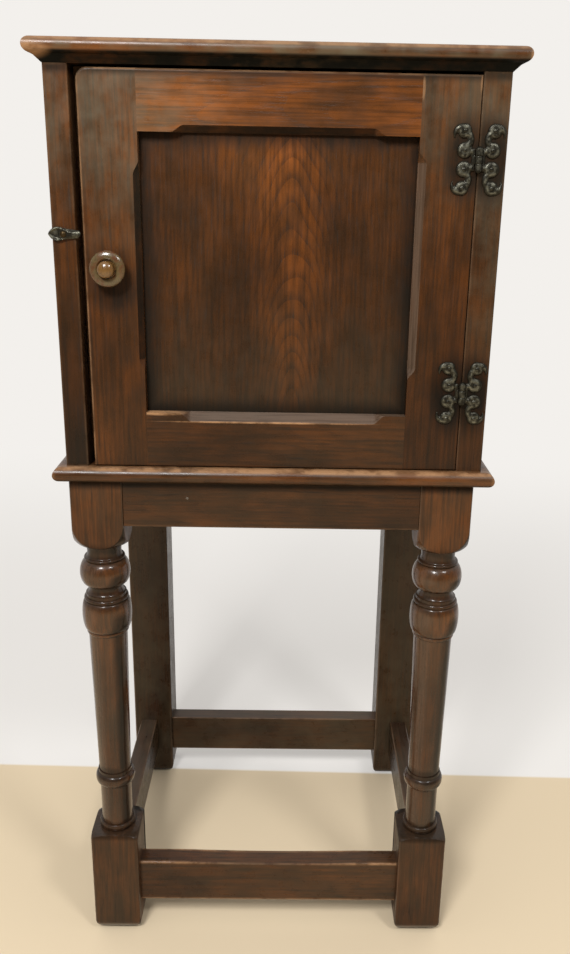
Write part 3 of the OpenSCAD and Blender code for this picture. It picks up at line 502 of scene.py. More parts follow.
def speckled(name, per_mm, dark, light, bumps, **look):
    """A plain stuff of two colours, so many specks to a millimetre, with bumps as strong as given."""
    material, tree, coordinates = new_material(name)
    specks = add(tree, NOISE, {"Vector": coordinates["Object"], "Scale": per_mm / MM, "Detail": 2})
    colour = add(tree, MIX, [specks, dark, light], **COLOUR)
    return surfaced(material, bumps, 0.1, specks, {"Base Color": colour, **look})


def tarnished_brass(finish):
    """Old brass rivet, tarnished and rubbed by a thumb."""
    return speckled("Tarnished brass", 0.9, linear("#33291b"), finish.brass, 0.3, Metallic=0.9, Roughness=0.45)


def pale_putty():
    """Pale putty, pressed in with a thumb: dull and crumbly."""
    return speckled("Pale putty", 1.8, linear("#463d34"), linear("#6e6458"), 0.4, Roughness=0.8)


# ---- Meshes ----


def put(obj):
    """Links an object to the scene."""
    bpy.context.scene.collection.objects.link(obj)
    return obj


def coat(obj, material):
    """Gives every face of a piece one finish."""
    if not obj.material_slots:
        obj.data.materials.append(material)
    for slot in obj.material_slots:
        slot.material = material


def settled(obj, sharp=None):
    """Bakes a piece's modifiers into its mesh, turns its faces outwards and shades it."""
    graph = bpy.context.evaluated_depsgraph_get()
    mesh = bpy.data.meshes.new_from_object(
        obj.evaluated_get(graph), preserve_all_data_layers=True, depsgraph=graph)
    obj.modifiers.clear()
    old, obj.data = obj.data, mesh
    mesh.name = obj.name
    bpy.data.meshes.remove(old)
    work = bmesh.new()
    work.from_mesh(mesh)
    bmesh.ops.remove_doubles(work, verts=work.verts, dist=1e-7)
    bmesh.ops.recalc_face_normals(work, faces=work.faces)
    work.to_mesh(mesh)
    work.free()
    mesh.shade_smooth()
    if sharp is not None:
        mesh.set_sharp_from_angle(angle=math.radians(sharp))
    return obj


def grown(obj, group, inputs, sharp=None):
    """Runs a Geometry Nodes group on an object, with its inputs given by name, and settles the result."""
    modifier = obj.modifiers.new(group, "NODES")
    modifier.node_group = bpy.data.node_groups[group]
    for item in modifier.node_group.interface.items_tree:
        if item.in_out == "INPUT" and item.socket_type != "NodeSocketGeometry":
            modifier[item.identifier] = inputs[item.name]
    return settled(obj, sharp)


def turned_work_group():
    """Revolves a profile about Z. Where the profile is wider than the square blank, its faces are left.

    The profile is a row of points: X is the radius and Z the height, "side" the blank's half width there and
    "crest" how far the profile stands proud of what is next to it.
    """
    inputs = {"Geometry": ("Profile",), "Int": ("Points", "Segments"),
              "Float": ("Corner Sharpness", "Wobble", "Seed"), "Rotation": ("Turn",), "Vector": ("Place",),
              "Material": ("Finish",)}
    tree, given = new_group("Turned work", "GeometryNodeTree", inputs, {"Geometry": ("Geometry",)})
    around = add(tree, MATH, [given["Segments"], 1], operation="ADD")
    last = add(tree, MATH, [given["Points"], 1], operation="SUBTRACT")
    grid = add(tree, "GeometryNodeMeshGrid", [1, 1, around, given["Points"]])
    # The grid's X runs once round the piece, and its Y runs up the profile
    place = add(tree, "GeometryNodeInputPosition")
    x, y, _ = add(tree, SPLIT, [place]).outputs
    angle = add(tree, MATH, [add(tree, MATH, [x, 0.5], operation="ADD"), math.tau], operation="MULTIPLY")
    row = add(tree, MATH, [add(tree, MATH, [y, 0.5], operation="ADD"), last], operation="MULTIPLY")
    row = add(tree, MATH, [row], operation="ROUND")
    side, crest = (add(tree, "GeometryNodeInputNamedAttribute", {"Name": name}) for name in ("side", "crest"))
    profile, side, crest = (
        add(tree, "GeometryNodeSampleIndex", {"Geometry": given["Profile"], "Value": value, "Index": row},
            data_type=kind, domain="POINT")
        for value, kind in ((place, "FLOAT_VECTOR"), (side, "FLOAT"), (crest, "FLOAT")))
    turned_to, _, height = add(tree, SPLIT, [profile]).outputs
    cosine, sine = (add(tree, MATH, [angle], operation=operation) for operation in ("COSINE", "SINE"))
    # A rounded square of high power has the blank's flat faces and its crisp corners
    power = given["Corner Sharpness"]
    powers = [add(tree, MATH, [add(tree, MATH, [part], operation="ABSOLUTE"), power], operation="POWER")
              for part in (cosine, sine)]
    root = add(tree, MATH, [1, power], operation="DIVIDE")
    spread = add(tree, MATH, [add(tree, MATH, powers, operation="ADD"), root], operation="POWER")
    square = add(tree, MATH, [side, spread], operation="DIVIDE")
    on_lathe = add(tree, MATH, [turned_to, square], operation="LESS_THAN")
    radius = add(tree, MATH, [turned_to, square], operation="MINIMUM")
    # The tool strays a little, but not on the blank's faces nor at the centres
    tall = add(tree, MATH, [height, 24], operation="MULTIPLY")
    stray = add(tree, NOISE, {"Vector": add(tree, JOIN, [cosine, sine, tall]), "W": given["Seed"],
                              "Scale": 1.3, "Detail": 1}, noise_dimensions="4D")
    stray = add(tree, MATH, [stray, 0.5], operation="SUBTRACT")
    off_centre = add(tree, MATH, [radius, 2 * MM], operation="GREATER_THAN")
    for factor in (given["Wobble"], on_lathe, off_centre):
        stray = add(tree, MATH, [stray, factor], operation="MULTIPLY")
    radius = add(tree, MATH, [radius, stray], operation="ADD")
    x, y = (add(tree, MATH, [radius, part], operation="MULTIPLY") for part in (cosine, sine))
    spot = add(tree, JOIN, [x, y, height])
    shaped = add(tree, "GeometryNodeSetPosition", {"Geometry": grid, "Position": spot})
    # The blank's corners wear pale as the crests do
    corner = add(tree, MATH, [add(tree, MATH, [square, side], operation="SUBTRACT"), side], operation="DIVIDE")
    corner = add(tree, MATH, [add(tree, MATH, [corner, 2.4], operation="MULTIPLY"), 5], operation="POWER")
    corner = add(tree, MATH, [corner, 1], operation="MINIMUM")
    off_lathe = add(tree, MATH, [1, on_lathe], operation="SUBTRACT")
    corner = add(tree, MATH, [corner, off_lathe], operation="MULTIPLY")
    proud = add(tree, MATH, [add(tree, MATH, [crest, on_lathe], operation="MULTIPLY"), corner], operation="ADD")
    marked = add(tree, "GeometryNodeStoreNamedAttribute", {
        "Geometry": shaped, "Name": "crest", "Value": proud}, data_type="FLOAT", domain="POINT")
    closed = add(tree, "GeometryNodeMergeByDistance", {"Geometry": marked, "Distance": 1e-6})
    stood = add(tree, "GeometryNodeTransform", {"Geometry": closed, "Translation": given["Place"],
                                                "Rotation": given["Turn"]})
    real = add(tree, "GeometryNodeRealizeInstances", {"Geometry": stood})
    add(tree, "NodeGroupOutput", [
        add(tree, "GeometryNodeSetMaterial", {"Geometry": real, "Material": given["Finish"]})])


def nail_heads_group():
    """Puts a hammered nail head on every point, facing -Y, each one a little different."""
    tree, given = new_group("Nail heads", "GeometryNodeTree", {
        "Geometry": ("Places",), "Float": ("Head Radius", "Head Height", "Dents"), "Int": ("Seed",),
        "Material": ("Finish",)}, {"Geometry": ("Geometry",)})
    ball = add(tree, "GeometryNodeMeshUVSphere", [20, 12, given["Head Radius"]])
    flat = add(tree, MATH, [given["Head Height"], given["Head Radius"]], operation="DIVIDE")
    head = add(tree, "GeometryNodeTransform", {"Geometry": ball, "Scale": add(tree, JOIN, [1, 1, flat])})
    lean = 0.12
    spin = add(tree, "FunctionNodeRandomValue", {
        "Min": (-lean, -lean, 0), "Max": (lean, lean, math.tau), "Seed": given["Seed"]},
        data_type="FLOAT_VECTOR")
    facing = add(tree, "FunctionNodeEulerToRotation", [(math.radians(90), 0, 0)])
    loose = add(tree, "FunctionNodeEulerToRotation", [spin])
    turn = add(tree, "FunctionNodeRotateRotation", [facing, loose], rotation_space="LOCAL")
    size = add(tree, "FunctionNodeRandomValue", {0: 0.92, 1: 1.08, "Seed": given["Seed"]}, data_type="FLOAT")
    heads = add(tree, "GeometryNodeInstanceOnPoints", {
        "Points": given["Places"], "Instance": head, "Rotation": turn, "Scale": size})
    real = add(tree, "GeometryNodeRealizeInstances", {"Geometry": heads})
    # Dents about 1.6 mm across
    dents = add(tree, NOISE, {"Vector": add(tree, "GeometryNodeInputPosition"), "Scale": 620, "Detail": 1})
    away = add(tree, VECTOR, [dents.outputs["Color"], (0.5, 0.5, 0.5)], operation="SUBTRACT")
    push = add(tree, VECTOR, [away, given["Dents"]], operation="SCALE")
    dented = add(tree, "GeometryNodeSetPosition", {"Geometry": real, "Offset": push})
    add(tree, "NodeGroupOutput", [
        add(tree, "GeometryNodeSetMaterial", {"Geometry": dented, "Material": given["Finish"]})])


# How far from a point of a profile its neighbours are looked for, and the relief that counts as a full crest
CREST_REACH = 3.2 * MM
CREST_RELIEF = 0.75 * MM


def crest_at(profile, i):
    """How far a profile stands proud (to 1) or hollow (to -1) of the chord between its points nearby."""
    here, ends = Vector(profile[i][:2]), []
    for step in (-1, 1):
        j, left = i, CREST_REACH
        while 0 <= j + step < len(profile) and left > 0:
            left -= (Vector(profile[j + step][:2]) - Vector(profile[j][:2])).length
            j += step
        if left > 0:
            return 0.0
        over = Vector(profile[j][:2]) - here
        ends.append(here + over.normalized() * min(over.length, CREST_REACH))
    along = ends[1] - ends[0]
    outward = Vector((along.y, -along.x)).normalized()
    return max(-1.0, min(1.0, (here - (ends[0] + ends[1]) / 2).dot(outward) / CREST_RELIEF))


def turned(name, profile, material, place, turn, segments, wobble, seed):
    """A turned piece from its profile: points of (radius, height, half width of the blank), in metres."""
    mesh = bpy.data.meshes.new(name)
    mesh.from_pydata([(r, 0, z) for r, z, _ in profile], [(i, i + 1) for i in range(len(profile) - 1)], [])
    sides, crests = [p[2] for p in profile], [crest_at(profile, i) for i in range(len(profile))]
    mesh.attributes.new("side", "FLOAT", "POINT").data.foreach_set("value", sides)
    mesh.attributes.new("crest", "FLOAT", "POINT").data.foreach_set("value", crests)
    return grown(put(bpy.data.objects.new(name, mesh)), "Turned work", {
        "Points": len(profile), "Segments": segments, "Corner Sharpness": 25.0, "Wobble": wobble, "Seed": seed,
        "Turn": turn, "Place": place, "Finish": material}, sharp=38)


def clusters(node, reach=3 * MM):
    """Middles and lowest Y of the separate small solids in a CAD node."""
    groups = []
    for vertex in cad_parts[node].data.vertices:
        for group in groups:
            if math.hypot(group[0].x - vertex.co.x, group[0].z - vertex.co.z) < reach:
                group.append(vertex.co.copy())
                break
        else:
            groups.append([vertex.co.copy()])
    found = []
    for group in groups:
        xs, zs = [p.x for p in group], [p.z for p in group]
        found.append(Vector(((min(xs) + max(xs)) / 2, min(p.y for p in group), (min(zs) + max(zs)) / 2)))
    return found


def set_rub(mesh, values):
    """Stores how much each point of an ironwork piece is rubbed bare."""
    mesh.attributes.new("rub", "FLOAT", "POINT").data.foreach_set("value", values)


def fine_copy(node, name, voxel):
    """A CAD node's mesh as a new object, cut into small even faces so that it can be shaped."""
    obj = put(bpy.data.objects.new(name, bpy.data.meshes.new(name)))
    work = bmesh.new()
    work.from_mesh(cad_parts[node].data)
    bmesh.ops.remove_doubles(work, verts=work.verts, dist=1e-6)
    work.to_mesh(obj.data)
    work.free()
    cut = obj.modifiers.new("Even faces", "REMESH")
    cut.mode, cut.voxel_size = "VOXEL", voxel
    soften = obj.modifiers.new("Soften", "SMOOTH")
    soften.factor, soften.iterations = 0.5, 2
    return settled(obj)


# Half width of the hole that a nail or a pin makes in a plate, with a little to spare
HOLE_REACH = 1.6 * MM


def wall_tree(node, skip):
    """The upright walls of a plate that lies flat on the case, without those of its nail holes."""
    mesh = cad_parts[node].data
    walls = [p for p in mesh.polygons if abs(p.normal.y) < 0.3
             and all(math.hypot(p.center.x - s.x, p.center.z - s.z) > HOLE_REACH for s in skip)]
    return BVHTree.FromPolygons([v.co.copy() for v in mesh.vertices], [tuple(p.vertices) for p in walls])


# ---- Profiles ----


def steps_of(start, end, count):
    """Angles from start to end in radians, both included."""
    return [math.radians(start + (end - start) * i / count) for i in range(count + 1)]


# Square parts of a front leg and the rounding of their ends, in millimetres
LEG_HALF = 21.75
FOOT_ROUND = 12.0
FOOT_BLOCK = 109.5
SHOULDER_H, SHOULDER_R = 7.0, 23.5
PUMMEL_H, PUMMEL_R = 28.0, 17.5
PUMMEL_LAP = 6.5
RAIL_H = 39.5
# Turnings from the foot block up: height, radius at the foot, in the middle and at the head, in millimetres.
# None in the middle is a straight taper, and None for the height is whatever is left.
TURNINGS = [
    (6.0, 15.2, 16.3, 15.2), (41.5, 14.0, None, 14.0), (11.5, 14.6, 17.7, 14.6), (3.0, 15.2, None, 15.2),
    (None, 14.3, None, 16.7), (4.0, 16.9, 18.1, 16.9), (27.5, 18.1, 21.3, 18.4), (3.5, 17.8, 19.0, 17.8),
    (3.0, 17.2, None, 17.2), (8.0, 16.6, 14.3, 15.5), (23.5, 15.5, 21.4, 14.9), (2.5, 16.1, 17.3, 16.1),
    (12.0, 15.6, 14.4, 16.3),
]

# Steps of a rounding, of the pummel's long one, of the foot block, of the top block and of a turned swelling,
# and the height of a step of a straight taper in millimetres
ROUND_STEPS, PUMMEL_STEPS, FOOT_STEPS, TOP_STEPS, SWELL_STEPS = 12, 24, 24, 12, 16
TAPER_STEP = 2.2


def leg_profile(stand_h):
    """Points of (turned radius, height, half width of the blank) up a front leg, in metres."""
    corner = LEG_HALF * math.sqrt(2)
    block_z = stand_h - RAIL_H + PUMMEL_LAP - PUMMEL_H
    shoulder_z = FOOT_BLOCK - SHOULDER_H
    spare = block_z - FOOT_BLOCK - sum(t[0] for t in TURNINGS if t[0])
    points = [(0.0, 0.0, LEG_HALF)]
    points += [(corner, FOOT_ROUND * (1 - math.cos(a)), LEG_HALF - FOOT_ROUND * (1 - math.sin(a)))
               for a in steps_of(0, 90, ROUND_STEPS)]
    points += [(corner, FOOT_ROUND + (shoulder_z - FOOT_ROUND) * i / FOOT_STEPS, LEG_HALF)
               for i in range(1, FOOT_STEPS)]
    points += [(SHOULDER_R + (corner - SHOULDER_R) * math.cos(a),
                FOOT_BLOCK - SHOULDER_H * (1 - math.sin(a)), LEG_HALF) for a in steps_of(0, 90, ROUND_STEPS)]
    z = FOOT_BLOCK
    for height, foot, middle, head in TURNINGS:
        height = spare if height is None else height
        steps = max(3, round(height / TAPER_STEP)) if middle is None else SWELL_STEPS
        for i in range(steps + 1):
            up, swell = i / steps, 0.0
            if middle is not None:
                up = (1 - math.cos(math.pi * i / steps)) / 2
                swell = (middle - (foot + head) / 2) * math.sin(math.pi * i / steps)
            points.append((foot + (head - foot) * up + swell, z + up * height, LEG_HALF))
        z += height
    points += [(PUMMEL_R + (corner - PUMMEL_R) * math.sin(a), z + PUMMEL_H * (1 - math.cos(a)), LEG_HALF)
               for a in steps_of(0, 90, PUMMEL_STEPS)]
    z += PUMMEL_H
    points += [(corner, z + (stand_h - z) * i / TOP_STEPS, LEG_HALF) for i in range(1, TOP_STEPS + 1)]
    points.append((0.0, stand_h, LEG_HALF))
    kept = [points[0]] + [p for q, p in zip(points, points[1:]) if p != q]
    return [(r * MM, z * MM, s * MM) for r, z, s in kept]


# Half width of a blank that is too wide to leave any of its faces, in metres
ROUND_BLANK = 1.0
# The knob in millimetres: its foot, its neck, its bun-shaped rim, and its button in a hollow
KNOB_FOOT_R, KNOB_FOOT_H = 7.0, 1.0
KNOB_NECK_R, KNOB_NECK_H = 5.6, 2.0
RIM_R, RIM_Z, RIM_ROUND = 13.5, 10.25, 3.0
# Radius of the rim's highest circle, and how far its inner side falls in and down
RIM_TOP_R, RIM_INNER, RIM_FALL = 8.7, 1.8, 1.6
HOLLOW_R, HOLLOW_DEPTH = 6.8, 9.5
BUTTON_R, BUTTON_DOME = 6.2, 3.5


def knob_profile(reach):
    """Points up the knob from the door's face: foot, neck, rim, hollow and button, in metres."""
    points = [(0.0, 0.0), (KNOB_FOOT_R, 0.0), (KNOB_FOOT_R, KNOB_FOOT_H)]
    points += [(KNOB_NECK_R + (KNOB_FOOT_R - KNOB_NECK_R) * (1 - math.sin(a)),
                KNOB_FOOT_H + KNOB_NECK_H * (1 - math.cos(a))) for a in steps_of(0, 90, 8)]
    points += [(RIM_R - RIM_ROUND * (1 - math.cos(a)), RIM_Z + RIM_ROUND * math.sin(a))
               for a in steps_of(-75, 0, 10)]
    points += [(RIM_TOP_R + (RIM_R - RIM_TOP_R) * math.cos(a), RIM_Z + RIM_ROUND * math.sin(a))
               for a in steps_of(6, 90, 14)]
    points += [(RIM_TOP_R - RIM_INNER * math.sin(a), RIM_Z + RIM_ROUND - RIM_FALL * (1 - math.cos(a)))
               for a in steps_of(9, 90, 9)]
    hollow = reach - HOLLOW_DEPTH
    points += [(HOLLOW_R, hollow), (BUTTON_R, hollow)]
    points += [(BUTTON_R * math.cos(a), reach - BUTTON_DOME * (1 - math.sin(a))) for a in steps_of(0, 90, 16)]
    points[-1] = (0.0, reach)
    return [(r * MM, z * MM, ROUND_BLANK) for r, z in points]


# ---- Operators ----


# Turn that points a piece's own Z out of the cupboard's front
TO_FRONT = Euler((math.radians(90), 0, 0))


class CUPBOARD_OT_node_groups(bpy.types.Operator):
    """Builds the node groups that the finishes and the repeated pieces share"""

    bl_idname = "cupboard.node_groups"
    bl_label = "Build Node Groups"

    def execute(self, context):
        board_edges_group()
        oak_group()
        turned_work_group()
        nail_heads_group()
        return {"FINISHED"}


def dirt_round(node, wide, tall, most):
    """A mark of the dirt that has gathered round a piece of ironwork."""
    low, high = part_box(node)
    return "grime_and_shade", (low.x + high.x) / 2 / MM, (low.z + high.z) / 2 / MM, wide, tall, most


def boards():
    """The pieces of oak: node, grain, heart, tone, warmth and bloom with its painted sheen, then what isn't as
    on most boards.
    """
    at_case, at_door = (tuple(dirt_round(f"hinge_{side}_{end}", 23, 42, 0.85) for end in ("upper", "lower"))
                        for side in ("case", "door"))
    return (
        # The top board's thin line along its upper arris is a painted highlight; its left end is rubbed
        Board("top_board", "X", (20, 70), 1.45, 0.6, 1.0, tilt=0.05, wear=0.8, wear_width=2.6, shade_below=1.0,
              fade=(0.7, 1.3), marks=(("worn", -176, 776, 20, 9, 0.9), ("worn", 0, 784.6, 420, 2.8, 0.6))),
        # The waist board's thin line along its top arris is a painted highlight
        Board("waist_board", "X", (-30, 60), 0.85, 0.9, 0.15, wear=0.4, wear_width=3.6, dust=0.15,
              marks=(("worn", 0, 468.6, 420, 2.8, 0.85),)),
        Board("left_side", "Z", (40, 30), 0.72, 0.8, 0.45, bloom_ends=(20, 130), tilt=0.02, wear=0.15,
              fade=(0.2, 1.4)),
        Board("right_side", "Z", (-55, 30), 0.62, 0.7, 0.5, bloom_ends=(-100, 60), tilt=0.02, wear=0.1,
              fade=(0.7, 1.1), marks=at_case),
        Board("door_stile_left", "Z", (70, 40), 0.68, 0.95, 0.6, bloom_ends=(-30, 140), tilt=0.03, wear=0.8,
              fade=(0.66, 1.1), marks=(("grime_and_shade", -122, 614, 24, 30, 0.75),)),
        Board("door_stile_right", "Z", (-60, 35), 0.43, 1.0, 0.35, bloom_ends=(20, 120), tilt=0.03, wear=0.25,
              dust=0.78, fade=(0.6, 1.6),
              marks=(("worn", 104.6, 757, 1.8, 10, 0.5), ("worn", 146.2, 761, 1.2, 8, 0.4), *at_door)),
        Board("door_rail_top", "X", (10, 55), 1.12, 1.0, 0.5, bloom_ends=(0, 100), tilt=0.05, seam=0.6,
              fade=(0.85, 1.3)),
        # The bottom rail's thin lines along its chamfer and top arris are painted highlights on rubbed arrises
        Board("door_rail_bottom", "X", (-15, 60), 0.4, 0.95, 0.06, wear=0.3, seam=0.6, dust=0.8,
              fade=(0.8, 1.15), marks=(("worn", -8, 507, 104, 1.0, 1.0), ("worn", -90, 513.9, 24, 2.6, 1.0))),
        # The panel is painted darker towards its foot and its right, as painted shade
        Board("door_panel", "Z", (-13, 34), 0.82, 1.1, 0.1, bloom_ends=(20, -90), tilt=0.22, wear=0.0,
              border=0.8, fade=(0.3, 1.1), cross=(1.1, 0.85), figure=1.0),
        Board("front_rail", "X", (0, 50), 0.36, 0.9, 0.05, wear=0.2),
        Board("rear_rail", "X", (10, 50), 0.5, 0.5, 0.3, wear=0.3),
        Board("left_rail", "Y", (10, 50), 0.4, 0.5, 0.3, wear=0.3),
        Board("right_rail", "Y", (20, 50), 0.4, 0.5, 0.3, wear=0.3),
        Board("rear_leg_left", "Z", (30, 40), 0.4, 0.4, 0.25, tilt=0.01, wear=0.2),
        Board("rear_leg_right", "Z", (-30, 40), 0.4, 0.4, 0.25, tilt=0.01, wear=0.2),
        Board("front_stretcher", "X", (5, 45), 0.46, 0.9, 0.12, wear=0.9, wear_width=3.0, dust=0.0),
        Board("rear_stretcher", "X", (15, 45), 0.46, 0.6, 0.25, wear=0.3, dust=0.15),
        Board("left_stretcher", "Y", (15, 45), 0.26, 0.8, 0.2, wear=0.2, dust=0.15),
        Board("right_stretcher", "Y", (25, 45), 0.26, 0.8, 0.2, wear=0.2, dust=0.15),
    )


class CUPBOARD_OT_boards(bpy.types.Operator):
    """Waxes every board, rail and stile of the stand, the case and the door"""

    bl_idname = "cupboard.boards"
    bl_label = "Wax Boards"

    def execute(self, context):
        finish = context.scene.cupboard_oak
        left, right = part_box("door_stile_left"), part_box("door_stile_right")
        # Only the door's top and free edges are rubbed, not where its stiles and rails meet
        past = 20 * MM
        door_box = left[0] - Vector((0, 0, past)), right[1] + Vector((past, 0, 0))
        for seed, board in enumerate(boards(), 1):
            low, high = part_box(board.node)
            in_frame = board.node in ("door_rail_top", "door_rail_bottom", "door_panel")
            if in_frame:
                # Its grain and its ends are reckoned from what shows between the stiles
                low.x, high.x = left[1].x, right[0].x
            if board.node == "door_panel":
                low.z, high.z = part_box("door_rail_bottom")[1].z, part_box("door_rail_top")[0].z
            worn_box = door_box if "door_" in board.node and not board.border else None
            name = "Waxed oak, " + board.node.replace("_", " ")
            coat(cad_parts[board.node], waxed_oak(board, seed, finish, name, low, high, worn_box))
        plain = planed_oak(finish)
        for node in ("back_board", "door_stop"):
            coat(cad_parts[node], plain)
        return {"FINISHED"}


class CUPBOARD_OT_turned_legs(bpy.types.Operator):
    """Turns the two front legs, square where the rails and stretchers meet them"""

    bl_idname = "cupboard.turned_legs"
    bl_label = "Turn Front Legs"

    def execute(self, context):
        finish, lathe = context.scene.cupboard_oak, context.scene.cupboard_turnery
        # The hollows beside the base ring, the collar, the bulb and the ball are darker
        hollows = ((112, 9), (171, 9), (349, 13), (389, 14))
        for side, seed in (("left", 21), ("right", 22)):
            node = "front_leg_" + side
            low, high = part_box(node)
            axis = Vector(((low.x + high.x) / 2, (low.y + high.y) / 2, 0))
            # The leg is painted darker towards its foot, as painted shade
            board = Board(node, "Z", (14, 9), 0.8, 1.0, 0.1, tilt=0.015, gloss=0.1, fade=(0.5, 0.74), deep=1e6,
                          marks=tuple(("grime_and_shade", axis.x / MM, z, 70, tall, 0.62) for z, tall in hollows))
            material = waxed_oak(board, seed, finish, "Waxed turned oak, " + side, low, high)
            leg = turned("turned_leg_" + side, leg_profile(high.z / MM), material, axis, Euler((0, 0, 0)),
                         lathe.segments, lathe.wobble, seed)
            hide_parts(node)
            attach(leg, "cupboard")
        return {"FINISHED"}


class CUPBOARD_OT_knob(bpy.types.Operator):
    """Turns the door's knob, with its rim, its hollow and its button"""

    bl_idname = "cupboard.knob"
    bl_label = "Turn Knob"

    def execute(self, context):
        finish, lathe = context.scene.cupboard_oak, context.scene.cupboard_turnery
        low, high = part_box("knob")
        centre = Vector(((low.x + high.x) / 2, FACE_Y, (low.z + high.z) / 2))
        wood = handled_oak(finish, lathe, centre)
        knob = turned("turned_knob", knob_profile((FACE_Y - low.y) / MM), wood, centre, TO_FRONT,
                      segments=96, wobble=lathe.wobble / 3, seed=5)
        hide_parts("knob")
        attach(knob, "door")
        return {"FINISHED"}


# Hammer marks about 3 mm across on the leaves, and 2.5 mm across on the catch
DENTS_PER_M, CATCH_DENTS_PER_M = 330, 400


class CUPBOARD_OT_hinge_leaves(bpy.types.Operator):
    """Forges the four cockshead leaves with rounded edges and hammer marks"""

    bl_idname = "cupboard.hinge_leaves"
    bl_label = "Forge Hinge Leaves"

    def execute(self, context):
        finish = context.scene.cupboard_iron
        iron = bronzed_iron(finish, "Bronzed forged iron")
        for side, body in (("case", "cupboard"), ("door", "door")):
            for end in ("upper", "lower"):
                node = f"hinge_{side}_{end}"
                leaf = fine_copy(node, "forged_" + node, voxel=0.36 * MM)
                self.forge(leaf.data, wall_tree(node, clusters("hinge_nails_" + side)), finish)
                coat(leaf, iron)
                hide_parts(node)
                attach(leaf, body)
        coat(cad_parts["hinge_pins"], iron)
        return {"FINISHED"}

    def forge(self, mesh, walls, finish):
        """Rounds a leaf towards its walls, dents its face and rubs the shoulder of the rounding bare."""
        pin_low, pin_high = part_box("hinge_pins")
        axis_x, thick = (pin_low.x + pin_high.x) / 2, 2 * MM
        # How far from the pin its knuckles reach, and how far before the case they are rubbed
        knuckle_reach, knuckle_top = 3.1 * MM, 4 * MM
        # How much of a leaf's thickness its thin edge keeps, and the share of it that is rubbed most
        thin, shoulder, shoulder_width = 0.22, 0.94, 0.09
        rubs = []
        for vertex in mesh.vertices:
            co = vertex.co
            if abs(co.x - axis_x) > knuckle_reach:
                up = max(0.0, min(1.0, (FACE_Y - co.y) / thick))
                near = walls.find_nearest(co)[3] or 0.0
                in_edge = min(near, finish.edge_round) / finish.edge_round
                dome = thin + (1 - thin) * math.sqrt(max(0.0, 1 - (1 - in_edge) ** 2))
                dent = noise.noise(co * DENTS_PER_M) * finish.hammer * up * in_edge
                co.y = FACE_Y - up * thick * dome + dent
                rubs.append(up * (0.1 + math.exp(-((dome - shoulder) / shoulder_width) ** 2)))
            else:
                rubs.append(0.5 if abs(co.y - FACE_Y) > knuckle_top else 0.1)
        set_rub(mesh, rubs)


class CUPBOARD_OT_nails(bpy.types.Operator):
    """Nails the hinge leaves on, each head hammered a little differently"""

    bl_idname = "cupboard.nails"
    bl_label = "Nail Hinges"

    def execute(self, context):
        finish = context.scene.cupboard_iron
        iron = bronzed_iron(finish, "Bronzed nail heads")
        seat, rubbed, count = FACE_Y - 2.1 * MM, 0.4, 8
        for side, body, seed in (("case", "cupboard", 3), ("door", "door", 4)):
            node = "hinge_nails_" + side
            places = [Vector((p.x, seat, p.z)) for p in clusters(node)]
            if len(places) != count:
                raise RuntimeError(f"{node} has {len(places)} nails, not {count}")
            mesh = bpy.data.meshes.new(node)
            mesh.from_pydata(places, [], [])
            heads = grown(put(bpy.data.objects.new("nail_heads_" + body, mesh)), "Nail heads", {
                "Head Radius": finish.nail_round, "Head Height": 0.8 * MM, "Dents": 0.35 * MM, "Seed": seed,
                "Finish": iron})
            set_rub(heads.data, [rubbed] * len(heads.data.vertices))
            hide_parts(node)
            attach(heads, body)
        return {"FINISHED"}


class CUPBOARD_OT_catch(bpy.types.Operator):
    """Forges the turn catch, with its hollowed thumb leaf and its ridged tongue, on a brass rivet"""

    bl_idname = "cupboard.catch"
    bl_label = "Forge Turn Catch"

    def execute(self, context):
        finish = context.scene.cupboard_iron
        pin_low, pin_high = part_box("catch_pin")
        pivot = (pin_low + pin_high) / 2
        catch = fine_copy("turn_catch", "forged_catch", voxel=0.28 * MM)
        self.forge(catch.data, pivot, finish)
        coat(catch, bronzed_iron(finish, "Bronzed iron catch", rubbing=1.3))
        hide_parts("turn_catch")
        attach(catch, "turn_catch")
        coat(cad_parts["catch_pin"], tarnished_brass(finish))
        return {"FINISHED"}

    def forge(self, mesh, pivot, finish):
        """Shapes the catch's face by the distance from its walls and from its pivot, in millimetres."""
        low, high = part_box("turn_catch")
        walls, thick = wall_tree("turn_catch", [pivot]), high.y - low.y
        # The hub keeps this share of the thickness as far as its rim, and the rest blends in from there
        hub, hub_rim, blend_from, blend_over = 0.9, 3.4, 2.9, 1.2
        rubs = []
        for vertex in mesh.vertices:
            co = vertex.co
            up = max(0.0, min(1.0, (high.y - co.y) / thick))
            near = (walls.find_nearest(co)[3] or 0.0) / MM
            out = math.hypot(co.x - pivot.x, co.z - pivot.z) / MM
            shape, rub = hub, 0.35
            if out > hub_rim and co.x < pivot.x:
                # The thumb leaf has a raised rim round a hollow
                rim = math.exp(-((near - 0.9) / 0.8) ** 2)
                shape, rub = 0.55 + 0.4 * rim, 0.35 + 0.5 * rim
            elif out > hub_rim:
                # The tongue has a ridge, and its upper side is painted paler, a painted highlight
                shape, rub = min(1.0, 0.5 + 0.26 * near), 0.85 if co.z > pivot.z else 0.5
            shape = hub + (shape - hub) * max(0.0, min(1.0, (out - blend_from) / blend_over))
            dent = noise.noise(co * CATCH_DENTS_PER_M) * finish.hammer * up
            co.y = high.y - up * thick * shape + dent
            rubs.append(rub * up)
        set_rub(mesh, rubs)


